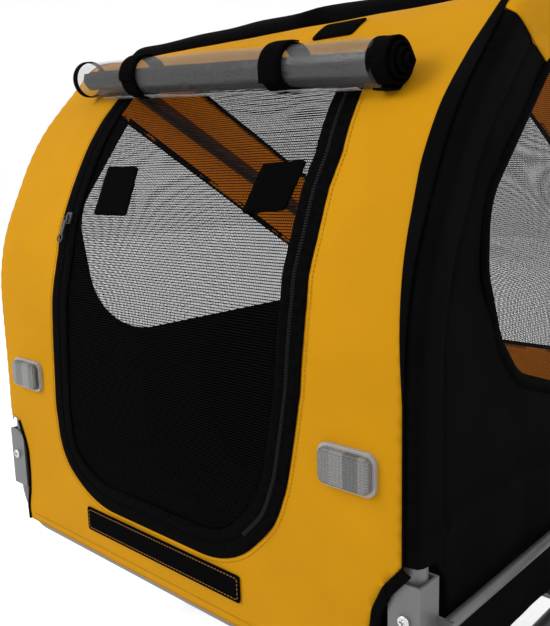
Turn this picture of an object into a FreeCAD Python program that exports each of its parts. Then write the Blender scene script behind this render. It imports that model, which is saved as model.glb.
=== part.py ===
"""Dog bike trailer: a wedge-shaped fabric cabin on a folding tube frame, two wheels and a drawbar.

All lengths are millimetres. While the pieces are made, the origin is the middle of the front
panel's hem: X to the side, Y from the tall front to the low rear, Z up. Each finished piece is
then moved so that the ground is Z = 0 and the whole trailer is centred over the origin.
"""
import FreeCAD, Part
import math
import os

V = FreeCAD.Vector

# Cabin outline, seen from the side as (Y, Z) corners before rounding
CABIN_LENGTH = 806.0
FRONT_KNEE_Z = 345.0
UPPER_KNEE_Y = 65.0
UPPER_KNEE_Z = 478.0
ROOF_PEAK_Y = 181.0
ROOF_PEAK_Z = 598.0
REAR_HEIGHT = 255.0
FRONT_KNEE_REACH = 0.4376
UPPER_KNEE_REACH = 0.2993
ROOF_PEAK_R = 60.0
REAR_BEND_R = 104.0

# Fabric
FABRIC = 2.5
MESH = 1.2
SEW_GAP = 0.3
SIDE_CLOTH = 2.0

# Folding frame
TUBE_R = 11.0
TUBE_WALL = 1.5
ARCH_X = 297.0
TUBE_INSET = 17.0
PIVOT_Z = 82.0
FOOT_R = 10.9
SCREW_R = 3.0
PIVOT_CLEARANCE = 0.06
SCREW_HEAD_R = 5.6
SCREW_HEAD = 3.6
CROSS_SLOT_HALF = 0.75
SHEET = 2.5
BRACKET_GAP = 0.6
BRACKET_BOTTOM = 40.0
BRACKET_TOP = 114.0
BRACKET_INNER = 16.0
BRACKET_CORNER_R = 14.0
HOOP_TOP = 69.0
HOOP_Z = -4.0
HOOP_BEND_R = 45.0
BASE_TUBE_X = 235.0
RAIL_X = 316.5
RAIL_Z = 70.0
RAIL_R = 5.5
EAR_HALF = 9.0

# Roof spreader: a rod lying over both arches in the roof band's pocket, in a clip on each arch
SPREADER_SLOPE_AT = 36.0
SPREADER_R = 6.0
SPREADER_GAP = 0.5
CLIP_WALL = 3.0
CLIP_WIDTH = 18.0

# Front panel and its door
DOOR_HALF = 183.0
DOOR_TOP_HALF = 168.0
DOOR_BOTTOM = 64.0
DOOR_TOP = 552.0
DOOR_SHOULDER_Z = 300.0
DOOR_CORNER_R = 112.0
DOOR_TOP_R = 30.0
DOOR_HEADER = 65.0
ZIP_TAPE = 10.0
ZIP_THICK = 1.6
BINDING = 10.0
NOTCH_X = 266.0
NOTCH_Z = 96.0
NOTCH_R = 32.0
NOTCH_TOP = 131.0
FRONT_PANEL_END = 166.0
ROOF_BAND_END = 255.0
REAR_BEND_BACK = 71.0
ROOF_SEAM = 12.0
MESH_HALF = 220.0
REAR_BAND_TOP = 118.0

# Small things sewn or fixed to the front panel
STRIP_X0 = -133.0
STRIP_X1 = 115.0
STRIP_Z = 40.8
STRIP_H = 25.0
STRIP_THICK = 1.6
STRIP_CORNER_R = 2.0
TAB_X = 120.0
TAB_WIDTH = 55.0
TAB_FRONT_Y = 144.0
TAB_BACK_Y = 165.0
PATCH_WIDTH = 74.0
PATCH_Z0 = 398.0
PATCH_Z1 = 446.0
PATCH_FROM_EDGE = (60.7, 39.7)
REFLECTOR_FROM_DOOR = 62.0
REFLECTOR_Z = 198.0
REAR_REFLECTOR_X = 190.0
REAR_REFLECTOR_Z = 58.0
REFLECTOR_W = 58.0
REFLECTOR_H = 37.0
REFLECTOR_BASE = 4.0
REFLECTOR_LENS = 6.0
REFLECTOR_CORNER_R = 9.0
REFLECTOR_RIM = 3.0
SLIDER_Z = 388.0
SLIDER_L = 14.0
SLIDER_W = 9.0
SLIDER_T = 4.0
PULL_L = 30.0
PULL_W = 6.0
PULL_T = 2.0
PULL_PIN_R = 1.2
PULL_END_R = 2.9
PULL_EAR = 1.2

# Rolled rain cover, lying askew under the roof edge
ROLL_R = 21.0
ROLL_CORE_R = 5.5
ROLL_SHEET = 1.6
ROLL_TURNS = 4
ROLL_LENGTH = 494.0
ROLL_MID_X = 4.0
ROLL_MID_SLOPE = 91.0
ROLL_TILT = 5.0
ROLL_STAND = 2.4
STRAP_X = (-155.0, 80.0)
STRAP_W = 25.0
STRAP_T = 1.6
STRAP_GAP = 0.35
STRAP_TAIL = 34.0

# Side panels
SIDE_SPLIT = 95.0
SKIRT_TOP = 92.0
SIDE_NOTCH_Y = 48.0
SIDE_NOTCH_Z = 127.0
BAND_Y = 200.0
BAND_Z = 527.0
BAND_TAPER = 0.051
WINDOW_SILL = 205.0
WINDOW_BACK_Z = 271.0
WINDOW_TO_REAR = 166.0
FLOOR_Z = 7.3
FLOOR_THICK = 2.5
FLOOR_END_HALF = 250.0

# Wheels and axle
WHEEL_Y = 430.0
WHEEL_X = 372.0
AXLE_Z = -58.0
TYRE_R = 250.0
TYRE_SECTION_R = 22.0
RIM_R = 213.0
RIM_INNER_R = 203.0
RIM_HALF = 12.0
RIM_WELL = 4.0
SPOKES = 20
SPOKE_R = 1.1
HUB_R = 15.0
HUB_HALF = 22.0
FLANGE_R = 25.0
FLANGE_AT = 17.0
FLANGE_T = 3.0
STUB_R = 6.0
STUB_CLEARANCE = 0.06
AXLE_R = 12.5
AXLE_WALL = 2.0
AXLE_HALF = 330.0
BUSH_IN = 38.0
STUB_IN = 294.0
STUB_CAP_R = 10.0
STUB_CAP = 12.0
BUTTON_R = 4.0
BUTTON_PROUD = 5.0
BUTTON_DEPTH = 7.0
BUTTON_TRAVEL = 4.0
BUTTON_EDGE_R = 1.3
CLAMP_HALF = 16.0
CLAMP_LENGTH = 44.0
CLAMP_BELOW = 6.0
CLAMP_ABOVE = 5.0

# Drawbar and hitch
BAR_R = 14.0
BAR_WALL = 2.0
BAR_X = 316.0
BAR_Y = 300.0
BAR_Z = -35.0
BAR_BEND_Y = -230.0
HITCH_X = 175.0
HITCH_Z = 57.0
BAR_RISE_Y = -480.0
BAR_END_Y = -600.0
BAR_BEND_R = 150.0
EYE_R = 16.0
EYE_GAP = 0.4
BRACE_T = 5.0
BRACE_HALF = 26.0
BRACE_IN_X = 222.0
PIVOT_BOLT_R = 5.0
KNOB_R = 15.0
KNOB_H = 14.0
KNOB_LOBE_AT = 14.0
KNOB_LOBE_R = 6.0
KNOB_LOBES = 5
COUPLER_W = 36.0
COUPLER_H = 44.0
COUPLER_L = 46.0
COUPLER_CORNER_R = 6.0
SLOT_DEPTH = 33.0
ARM_T = 10.0
ARM_GAP = 0.3
ARM_EYE_R = 14.0
ARM_W = 24.0
ARM_LENGTH = 72.0
HITCH_PIN_R = 4.0
HITCH_PIN_BACK = 17.0
HITCH_PIN_HALF = 32.0
HITCH_PIN_HEAD_R = 9.0
HITCH_PIN_HEAD = 8.0
PLATE_T = 6.0
PLATE_L = 50.0
PLATE_H = 52.0
PLATE_BORE_R = 5.2
PLATE_BORE_ABOVE = 20.0

# Places worked out from the sizes above
ROOF_COVER_END = CABIN_LENGTH - REAR_BEND_BACK
WINDOW_END = CABIN_LENGTH - WINDOW_TO_REAR
WINDOW = ((226.0, 520.0, 25.0), (95.0, 365.0, 90.0), (140.0, WINDOW_SILL, 110.0),
          (WINDOW_END, WINDOW_SILL, 28.0), (WINDOW_END, WINDOW_BACK_Z, 30.0))
DOOR_HINGE_Z = DOOR_TOP - DOOR_HEADER
REFLECTOR_X = DOOR_HALF + REFLECTOR_FROM_DOOR
PATCH_UP = ((PATCH_Z0 + PATCH_Z1) / 2 - DOOR_SHOULDER_Z) / (DOOR_TOP - DOOR_SHOULDER_Z)
PATCH_EDGE = DOOR_HALF + (DOOR_TOP_HALF - DOOR_HALF) * PATCH_UP
PATCH_X = (PATCH_FROM_EDGE[0] - PATCH_EDGE, PATCH_EDGE - PATCH_FROM_EDGE[1])
BAND_FALL = (ROOF_PEAK_Z - REAR_HEIGHT) / (CABIN_LENGTH - ROOF_PEAK_Y) + BAND_TAPER
MESH_INSET = (FABRIC - MESH) / 2
STUB_OUT = WHEEL_X + HUB_HALF + SEW_GAP + STUB_CAP
SPREADER_STAND = TUBE_R + SPREADER_GAP + SPREADER_R
ROOF_BAND_PUFF = SPREADER_STAND - TUBE_INSET + SPREADER_R + SEW_GAP + FABRIC
CLIP_HALF = SPREADER_R + SEW_GAP + CLIP_WALL
SIDE_X = ARCH_X + TUBE_R + SEW_GAP
PANEL_HALF = SIDE_X + SIDE_CLOTH + SEW_GAP
REAR_TUBE_Y = CABIN_LENGTH - TUBE_INSET
HEM_HEIGHT = TYRE_R - AXLE_Z
HITCH_PIN_Y = BAR_END_Y - COUPLER_L + HITCH_PIN_BACK
PLATE_Y = HITCH_PIN_Y - ARM_LENGTH
FRONT_REACH = PLATE_Y - PLATE_L / 2
REAR_REACH = CABIN_LENGTH + REFLECTOR_BASE + REFLECTOR_LENS
CENTRE_Y = (FRONT_REACH + REAR_REACH) / 2
SHIFT = V(0, -CENTRE_Y, HEM_HEIGHT)
MARGIN = 2000.0
OVERSHOOT = 1.0
NEAR = 0.01

pieces = {}


def keep(name, *shapes):
    """Store the solids of one node, moved into the trailer's own frame."""
    solids = [solid for shape in shapes for solid in shape.Solids]
    body = solids[0] if len(solids) == 1 else Part.makeCompound(solids)
    body = body.copy()
    body.translate(SHIFT)
    pieces[name] = body


def unit(vector):
    return vector * (1.0 / vector.Length)


def rounded_edges(points, radii, closed):
    """Straight runs joined by tangent arcs; radii has one value for each point."""
    count = len(points)
    starts, ends, arcs = [], [], []
    for i, point in enumerate(points):
        radius = radii[i]
        if radius <= 0 or (not closed and i in (0, count - 1)):
            starts.append(point)
            ends.append(point)
            arcs.append(None)
            continue
        arriving = unit(point - points[i - 1])
        leaving = unit(points[(i + 1) % count] - point)
        half_turn = arriving.getAngle(leaving) / 2
        tangent = radius * math.tan(half_turn)
        inward = unit(leaving - arriving)
        centre = point + inward * (radius / math.cos(half_turn))
        start = point - arriving * tangent
        end = point + leaving * tangent
        starts.append(start)
        ends.append(end)
        arcs.append(Part.Arc(start, centre - inward * radius, end).toShape())
    edges = []
    for i in range(count):
        if arcs[i] is not None:
            edges.append(arcs[i])
        following = (i + 1) % count
        if following == 0 and not closed:
            break
        if (starts[following] - ends[i]).Length > 1e-6:
            edges.append(Part.LineSegment(ends[i], starts[following]).toShape())
    return edges


def prism(points, radii, push):
    """A closed rounded outline pushed along a vector."""
    wire = Part.Wire(rounded_edges(points, radii, True))
    return Part.Face(wire).extrude(push)


def xz_prism(outline, y0, y1):
    """(x, z, radius) corners pushed along Y."""
    points = [V(x, y0, z) for x, z, _ in outline]
    return prism(points, [r for _, _, r in outline], V(0, y1 - y0, 0))


def yz_prism(outline, x0, x1):
    """(y, z, radius) corners pushed along X."""
    points = [V(x0, y, z) for y, z, _ in outline]
    return prism(points, [r for _, _, r in outline], V(x1 - x0, 0, 0))


def box(x0, x1, y0, y1, z0, z1):
    return Part.makeBox(x1 - x0, y1 - y0, z1 - z0, V(x0, y0, z0))


def rod(radius, start, end):
    along = end - start
    return Part.makeCylinder(radius, along.Length, start, along)


def pipe(edges, outer_r, inner_r):
    """A tube along a path; inner_r of 0 gives a solid bar."""
    path = Part.Wire(edges)
    start = path.OrderedVertexes[0].Point
    along = path.OrderedEdges[0].tangentAt(path.OrderedEdges[0].FirstParameter)
    ahead = path.OrderedEdges[0].valueAt(path.OrderedEdges[0].LastParameter) - start
    if along.dot(ahead) < 0:
        along = along * -1.0
    solid = None
    for radius in (outer_r, inner_r):
        if radius <= 0:
            continue
        ring = Part.Wire(Part.Circle(start, along, radius).toShape())
        swept = path.makePipeShell([ring], True, True)
        solid = swept if solid is None else solid.cut(swept)
    return solid


def mirrored(shape):
    return shape.mirror(V(0, 0, 0), V(1, 0, 0))


def reversed_ends(shape):
    """The same piece at the other end of the cabin."""
    return shape.mirror(V(0, CABIN_LENGTH / 2, 0), V(0, 1, 0))


def knee_radius(before, knee, after, reach):
    """Rounding that starts a share of the shorter neighbouring run away from a corner."""
    arriving = V(knee[0] - before[0], knee[1] - before[1], 0)
    leaving = V(after[0] - knee[0], after[1] - knee[1], 0)
    run = min(arriving.Length, leaving.Length)
    return reach * run / math.tan(arriving.getAngle(leaving) / 2)


def cabin_corners(inset):
    """Corners of the cabin outline moved inwards, with their rounding radii."""
    corners = [(0.0, 0.0), (0.0, FRONT_KNEE_Z), (UPPER_KNEE_Y, UPPER_KNEE_Z),
               (ROOF_PEAK_Y, ROOF_PEAK_Z), (CABIN_LENGTH, REAR_HEIGHT), (CABIN_LENGTH, 0.0)]
    front_knee_r = knee_radius(*corners[0:3], FRONT_KNEE_REACH)
    upper_knee_r = knee_radius(*corners[1:4], UPPER_KNEE_REACH)
    radii = [0.0] + [r - inset for r in (front_knee_r, upper_knee_r, ROOF_PEAK_R, REAR_BEND_R)] + [0.0]
    lines = []
    for (y0, z0), (y1, z1) in zip(corners, corners[1:]):
        length = math.hypot(y1 - y0, z1 - z0)
        dy, dz = (y1 - y0) / length, (z1 - z0) / length
        lines.append((y0 + dz * inset, z0 - dy * inset, dy, dz))
    moved = [(inset, 0.0)]
    for (ya, za, dya, dza), (yb, zb, dyb, dzb) in zip(lines, lines[1:]):
        along = ((yb - ya) * dzb - (zb - za) * dyb) / (dya * dzb - dza * dyb)
        moved.append((ya + dya * along, za + dza * along))
    moved.append((CABIN_LENGTH - inset, 0.0))
    return moved, radii


def cabin_edges(inset, x, foot_z):
    """The cabin outline from one foot over the roof to the other, at one X."""
    corners, radii = cabin_corners(inset)
    points = [V(x, y, z) for y, z in corners]
    points[0].z = foot_z
    points[-1].z = foot_z
    return rounded_edges(points, radii, False)


def cabin_shell(outer, inner, half_width):
    """Front, roof and rear as one bent strip between two insets."""
    out_edges = cabin_edges(outer, -half_width, 0.0)
    in_edges = cabin_edges(inner, -half_width, 0.0)
    front = Part.LineSegment(V(-half_width, outer, 0), V(-half_width, inner, 0)).toShape()
    rear = Part.LineSegment(V(-half_width, CABIN_LENGTH - outer, 0),
                            V(-half_width, CABIN_LENGTH - inner, 0)).toShape()
    wire = Part.Wire(Part.__sortEdges__(out_edges + [rear] + in_edges + [front]))
    return Part.Face(wire).extrude(V(2 * half_width, 0, 0))


def slope_point(distance, stand, x):
    """A point over the upper front slope: distance up from its knee, stand outwards."""
    run = V(0, ROOF_PEAK_Y - UPPER_KNEE_Y, ROOF_PEAK_Z - UPPER_KNEE_Z)
    up = unit(run)
    out = V(0, -up.z, up.y)
    return V(x, UPPER_KNEE_Y, UPPER_KNEE_Z) + up * distance + out * stand


def slope_angle():
    return math.degrees(math.atan2(ROOF_PEAK_Z - UPPER_KNEE_Z, ROOF_PEAK_Y - UPPER_KNEE_Y))


def door_outline(grow):
    """Corners of the door, grown by a margin all round."""
    half, top_half = DOOR_HALF + grow, DOOR_TOP_HALF + grow
    bottom, top = DOOR_BOTTOM - grow, DOOR_TOP + grow
    corner, top_r = DOOR_CORNER_R + grow, max(DOOR_TOP_R + grow, 1.0)
    return [(-half, bottom, corner), (half, bottom, corner), (half, DOOR_SHOULDER_Z, 0),
            (top_half, top, top_r), (-top_half, top, top_r), (-half, DOOR_SHOULDER_Z, 0)]


def make_front_panel(shell):
    front = shell.common(box(-MARGIN, MARGIN, -MARGIN, FRONT_PANEL_END, -MARGIN, MARGIN))
    front = front.cut(xz_prism(door_outline(0), -MARGIN, FRONT_PANEL_END))
    notch = xz_prism([(NOTCH_X, -FABRIC, 0), (NOTCH_X, NOTCH_Z, NOTCH_R),
                      (PANEL_HALF + FABRIC, NOTCH_TOP, 0), (PANEL_HALF + FABRIC, -FABRIC, 0)],
                     -TUBE_INSET, 2 * TUBE_INSET)
    keep("front_panel", front.cut(notch).cut(mirrored(notch)))


def make_roof_band():
    """The padded band over the roof's front edge, with a pocket along it for the spreader."""
    band = cabin_shell(-ROOF_BAND_PUFF, FABRIC, PANEL_HALF)
    band = band.common(box(-MARGIN, MARGIN, FRONT_PANEL_END, ROOF_BAND_END, 0, MARGIN))
    way = box(-PANEL_HALF - OVERSHOOT, PANEL_HALF + OVERSHOOT, -CLIP_HALF - SEW_GAP, CLIP_HALF + SEW_GAP,
              0, SPREADER_STAND + SEW_GAP)
    end = PANEL_HALF + OVERSHOOT
    groove = rod(SPREADER_R + SEW_GAP, V(-end, 0, SPREADER_STAND), V(end, 0, SPREADER_STAND))
    keep("roof_band", band.cut(on_roof_tube(way)).cut(on_roof_tube(groove)))


def make_roof(shell, mesh_shell):
    seam_y = ROOF_BAND_END + ROOF_SEAM
    cover = shell.common(box(-MARGIN, MARGIN, ROOF_BAND_END, ROOF_COVER_END, -MARGIN, MARGIN))
    keep("roof_cover", cover.cut(
        box(-MESH_HALF, MESH_HALF, seam_y, ROOF_COVER_END + OVERSHOOT, -MARGIN, MARGIN)))
    net_half = MESH_HALF - SEW_GAP
    keep("roof_mesh", mesh_shell.common(
        box(-net_half, net_half, seam_y + SEW_GAP, ROOF_COVER_END, -MARGIN, MARGIN)))
    rear = shell.common(box(-MARGIN, MARGIN, ROOF_COVER_END, MARGIN, -MARGIN, MARGIN))
    notch = box(NOTCH_X, PANEL_HALF + FABRIC, REAR_TUBE_Y, CABIN_LENGTH + FABRIC, -FABRIC, SIDE_NOTCH_Z)
    rear = rear.cut(notch).cut(mirrored(notch))
    keep("rear_panel", rear.cut(
        box(-MESH_HALF, MESH_HALF, ROOF_COVER_END - OVERSHOOT, MARGIN, REAR_BAND_TOP, MARGIN)))
    keep("rear_mesh", mesh_shell.common(
        box(-net_half, net_half, ROOF_COVER_END, MARGIN, REAR_BAND_TOP + SEW_GAP, MARGIN)))


def make_door(mesh_shell):
    blank = mesh_shell.common(xz_prism(door_outline(-SEW_GAP), -MARGIN, FRONT_PANEL_END))
    below = box(-MARGIN, MARGIN, -MARGIN, MARGIN, -MARGIN, DOOR_HINGE_Z)
    above = box(-MARGIN, MARGIN, -MARGIN, MARGIN, DOOR_HINGE_Z + SEW_GAP, MARGIN)
    keep("front_door", blank.common(below))
    keep("door_header", blank.common(above))
    face_on = cabin_shell(-ZIP_THICK, 0.0, PANEL_HALF)
    tape = xz_prism(door_outline(ZIP_TAPE), -MARGIN, FRONT_PANEL_END)
    hole = xz_prism(door_outline(0), -MARGIN, FRONT_PANEL_END)
    up_to_roll = box(-MARGIN, MARGIN, -MARGIN, MARGIN, -MARGIN, DOOR_HINGE_Z)
    keep("door_zip", face_on.common(tape.cut(hole)).common(up_to_roll))
    flap_edge = cabin_shell(MESH_INSET - ZIP_THICK, MESH_INSET, PANEL_HALF)
    edge = xz_prism(door_outline(-SEW_GAP), -MARGIN, FRONT_PANEL_END).cut(
        xz_prism(door_outline(-BINDING), -MARGIN, FRONT_PANEL_END))
    keep("door_binding", flap_edge.common(edge).common(below))
    behind_mesh = cabin_shell(MESH_INSET + MESH, MESH_INSET + MESH + STRIP_THICK, PANEL_HALF)
    patches = []
    for x in PATCH_X:
        column = box(x - PATCH_WIDTH / 2, x + PATCH_WIDTH / 2, -MARGIN, FRONT_PANEL_END, PATCH_Z0, PATCH_Z1)
        patches.append(behind_mesh.common(column))
    keep("door_patches", *patches)


def rounded_plate(x, z, half_w, half_h, corner_r, y0, y1):
    """An upright plate with four rounded corners, centred on (x, z)."""
    return xz_prism([(x + sx * half_w, z + sz * half_h, corner_r)
                     for sx, sz in ((-1, -1), (1, -1), (1, 1), (-1, 1))], y0, y1)


def make_hook_strips():
    strip = rounded_plate((STRIP_X0 + STRIP_X1) / 2, STRIP_Z, (STRIP_X1 - STRIP_X0) / 2, STRIP_H / 2,
                          STRIP_CORNER_R, -STRIP_THICK, 0)
    column = box(TAB_X - TAB_WIDTH / 2, TAB_X + TAB_WIDTH / 2, TAB_FRONT_Y, TAB_BACK_Y, -MARGIN, MARGIN)
    slope = box(-MARGIN, MARGIN, -MARGIN, MARGIN, UPPER_KNEE_Z, MARGIN)
    tab = cabin_shell(-STRIP_THICK, 0.0, PANEL_HALF).common(column).common(slope)
    keep("hook_strips", strip, tab)


def make_reflectors(centre_x, z, face_y, outward, name):
    """Base trays and lenses of the two reflectors on one end of the cabin."""
    lens_y = face_y + outward * REFLECTOR_BASE
    front_y = lens_y + outward * REFLECTOR_LENS
    half_w, half_h = REFLECTOR_W / 2, REFLECTOR_H / 2
    trays, lenses = [], []
    for x in (-centre_x, centre_x):
        trays.append(rounded_plate(x, z, half_w, half_h, REFLECTOR_CORNER_R, face_y, lens_y))
        lens = rounded_plate(x, z, half_w - REFLECTOR_RIM, half_h - REFLECTOR_RIM,
                             REFLECTOR_CORNER_R - REFLECTOR_RIM, lens_y, front_y)
        rim = [edge for edge in lens.Edges if abs(edge.CenterOfMass.y - front_y) < NEAR]
        lenses.append(lens.makeFillet(REFLECTOR_RIM, rim))
    keep(name + "_bases", *trays)
    keep(name + "_lenses", *lenses)


def make_zip_pull():
    x = -(DOOR_HALF - (DOOR_HALF - DOOR_TOP_HALF) * (SLIDER_Z - DOOR_SHOULDER_Z)
          / (DOOR_TOP - DOOR_SHOULDER_Z)) - ZIP_TAPE / 2
    lean = panel_lean(SLIDER_Z)
    outward = V(0, -math.cos(math.radians(lean)), -math.sin(math.radians(lean)))
    seat = V(x, panel_y(SLIDER_Z), SLIDER_Z) + outward * (ZIP_THICK + SEW_GAP)
    body = box(-SLIDER_W / 2, SLIDER_W / 2, -SLIDER_T, 0, -SLIDER_L / 2, SLIDER_L / 2)
    half = PULL_W / 2
    ear_out = half + SEW_GAP + PULL_EAR
    knuckle_r = PULL_PIN_R + PULL_T / 2
    pin_line = -SLIDER_T - SEW_GAP - knuckle_r
    ears = box(-ear_out, ear_out, pin_line - knuckle_r, -SLIDER_T, -knuckle_r, knuckle_r)
    ears = ears.cut(box(-half - SEW_GAP, half + SEW_GAP, pin_line - knuckle_r, -SLIDER_T, -SLIDER_L, SLIDER_L))
    pin = rod(PULL_PIN_R, V(-ear_out, pin_line, 0), V(ear_out, pin_line, 0))
    slider = body.fuse([ears, pin]).removeSplitter()
    tab = xz_prism([(-half, -PULL_L, PULL_END_R), (half, -PULL_L, PULL_END_R), (half, 0, 0), (-half, 0, 0)],
                   pin_line - PULL_T / 2, pin_line + PULL_T / 2)
    tab = tab.fuse(rod(knuckle_r, V(-half, pin_line, 0), V(half, pin_line, 0)))
    hole = rod(PULL_PIN_R + PIVOT_CLEARANCE, V(-half, pin_line, 0), V(half, pin_line, 0))
    tab = tab.cut(hole).removeSplitter()
    for shape in (slider, tab):
        shape.rotate(V(0, 0, 0), V(1, 0, 0), lean)
        shape.translate(seat)
    keep("zip_slider", slider)
    keep("zip_pull", tab)
    return seat - outward * pin_line


def panel_y(z):
    """Y of the front panel's outer face at a height."""
    line = Part.LineSegment(V(0, -MARGIN, z), V(0, FRONT_PANEL_END, z)).toShape()
    wire = Part.Wire(cabin_edges(0, 0, 0))
    return min(on_wire.y for on_wire, _ in wire.distToShape(line)[1])


def panel_lean(z):
    """Tilt of the front panel from upright at a height, in degrees about X."""
    step = 1.0
    return -math.degrees(math.atan2(panel_y(z + step) - panel_y(z - step), 2 * step))


def make_roll():
    """The rolled rain cover as a spiral sheet, and the two straps that hold it."""
    pitch = (ROLL_R - ROLL_SHEET - ROLL_CORE_R) / ROLL_TURNS

    def half_turns(start_r):
        edges, here = [], V(0, start_r, 0)
        for i in range(2 * ROLL_TURNS):
            side = 1 if i % 2 == 0 else -1
            near = start_r + pitch * i / 2
            far = start_r + pitch * (i + 1) / 2
            there = V(0, -side * far, 0)
            middle = V(0, side * (near - far) / 2, -side * (near + far) / 2)
            edges.append(Part.Arc(here, middle, there).toShape())
            here = there
        return edges, V(0, start_r, 0), here
    inner, inner_start, inner_end = half_turns(ROLL_CORE_R)
    outer, outer_start, outer_end = half_turns(ROLL_CORE_R + ROLL_SHEET)
    ends = [Part.LineSegment(inner_start, outer_start).toShape(),
            Part.LineSegment(inner_end, outer_end).toShape()]
    spiral = Part.Face(Part.Wire(Part.__sortEdges__(inner + outer + ends)))
    sheet = spiral.extrude(V(ROLL_LENGTH, 0, 0))
    sheet.translate(V(-ROLL_LENGTH / 2, 0, 0))
    stand = ROLL_R + ROLL_STAND
    straps = []
    for x in STRAP_X:
        inside = ROLL_R + STRAP_GAP
        ring = rod(inside + STRAP_T, V(x - STRAP_W / 2, 0, 0), V(x + STRAP_W / 2, 0, 0))
        ring = ring.cut(rod(inside, V(x - STRAP_W, 0, 0), V(x + STRAP_W, 0, 0)))
        tail = box(x - STRAP_W / 2, x + STRAP_W / 2, -inside - STRAP_T, -inside, -STRAP_TAIL, 0)
        straps.append(ring.fuse(tail).removeSplitter())
    for shape in [sheet] + straps:
        shape.translate(V(-ROLL_MID_X, 0, 0))
        shape.rotate(V(0, 0, 0), V(0, 1, 0), ROLL_TILT)
        shape.rotate(V(0, 0, 0), V(1, 0, 0), slope_angle() - 90.0)
        shape.translate(slope_point(ROLL_MID_SLOPE, stand, 2 * ROLL_MID_X))
    keep("rain_cover_roll", sheet)
    keep("roll_straps", *straps)


def make_side(side, name):
    """One side wall: upper panel, window and yellow band on the arch."""
    inset = FABRIC + 2 * SEW_GAP
    edges = cabin_edges(inset, SIDE_X, SIDE_SPLIT)
    foot, back = V(SIDE_X, inset, SIDE_SPLIT), V(SIDE_X, CABIN_LENGTH - inset, SIDE_SPLIT)
    sill = Part.LineSegment(foot, back).toShape()
    wall = Part.Face(Part.Wire(Part.__sortEdges__(edges + [sill]))).extrude(V(SIDE_CLOTH, 0, 0))
    corner = box(0, MARGIN, -FABRIC, SIDE_NOTCH_Y, -MARGIN, SIDE_NOTCH_Z)
    wall = wall.cut(corner).cut(reversed_ends(corner))

    def above(drop):
        at_front = BAND_Z + BAND_FALL * BAND_Y - drop
        at_rear = BAND_Z - BAND_FALL * (CABIN_LENGTH - BAND_Y) - drop
        return yz_prism([(0, at_front, 0), (CABIN_LENGTH, at_rear, 0), (CABIN_LENGTH, MARGIN, 0),
                         (0, MARGIN, 0)], 0, MARGIN)
    band = wall.common(above(0))
    panel = wall.cut(above(SEW_GAP)).cut(yz_prism(WINDOW, 0, MARGIN))
    net_x = SIDE_X + (SIDE_CLOTH - MESH) / 2
    corners = [V(net_x, y, z) for y, z, _ in WINDOW]
    rim = Part.Wire(rounded_edges(corners, [r for _, _, r in WINDOW], True)).makeOffset2D(-SEW_GAP)
    net = Part.Face(rim).extrude(V(MESH, 0, 0)).cut(above(SEW_GAP))
    for label, shape in (("side_band_", band), ("side_panel_", panel), ("side_window_", net)):
        keep(label + name, shape if side > 0 else mirrored(shape))


def make_floor():
    ends = box(-FLOOR_END_HALF, FLOOR_END_HALF, TUBE_INSET - TUBE_R, REAR_TUBE_Y + TUBE_R,
               FLOOR_Z, FLOOR_Z + FLOOR_THICK)
    half = SIDE_X - SEW_GAP
    middle = box(-half, half, SIDE_NOTCH_Y, CABIN_LENGTH - SIDE_NOTCH_Y, FLOOR_Z, FLOOR_Z + FLOOR_THICK)
    keep("floor_panel", ends.fuse(middle).removeSplitter())
    skirt = box(SIDE_X, SIDE_X + SIDE_CLOTH, SIDE_NOTCH_Y, CABIN_LENGTH - SIDE_NOTCH_Y, 0, SKIRT_TOP)
    keep("side_skirts", skirt, mirrored(skirt))


def arch_tube():
    """One side arch of the frame, on the right, with its two rounded feet drilled for the pivots."""
    foot_top = PIVOT_Z + FOOT_R + SHEET
    tube = pipe(cabin_edges(TUBE_INSET, ARCH_X, foot_top), TUBE_R, TUBE_R - TUBE_WALL)
    pivot = V(ARCH_X, TUBE_INSET, PIVOT_Z)
    foot = rod(FOOT_R, pivot, V(ARCH_X, TUBE_INSET, foot_top)).fuse(Part.makeSphere(FOOT_R, pivot))
    arch = tube.fuse([foot, reversed_ends(foot)])
    return arch.cut(screw_hole())


def screw_hole():
    return rod(SCREW_R + PIVOT_CLEARANCE, V(ARCH_X, -MARGIN, PIVOT_Z), V(ARCH_X, MARGIN, PIVOT_Z))


def arch_core():
    """The right arch as a full bar, to shape what is welded to it."""
    return pipe(cabin_edges(TUBE_INSET, ARCH_X, PIVOT_Z), TUBE_R, 0)


def bracket():
    """The front right hinge bracket: a channel open towards the cabin, with an ear for the guard rail."""
    web_in = ARCH_X + TUBE_R + BRACKET_GAP
    web_out = web_in + SHEET
    reach = TUBE_R + BRACKET_GAP
    flange = [(ARCH_X - BRACKET_INNER, BRACKET_BOTTOM, 0), (web_out, BRACKET_BOTTOM, 0),
              (web_out, BRACKET_TOP, 0), (ARCH_X - BRACKET_INNER, BRACKET_TOP, BRACKET_CORNER_R)]
    front_y, back_y = TUBE_INSET - reach, TUBE_INSET + reach
    front = xz_prism(flange, front_y - SHEET, front_y)
    back = xz_prism(flange, back_y, back_y + SHEET)
    web = box(web_in, web_out, front_y - SHEET, back_y + SHEET, BRACKET_BOTTOM, BRACKET_TOP)
    ear = box(web_in, RAIL_X + EAR_HALF, back_y, back_y + SHEET, RAIL_Z - EAR_HALF, RAIL_Z + EAR_HALF)
    channel = front.fuse([back, web, ear]).removeSplitter()
    return channel.cut(screw_hole())


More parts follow.
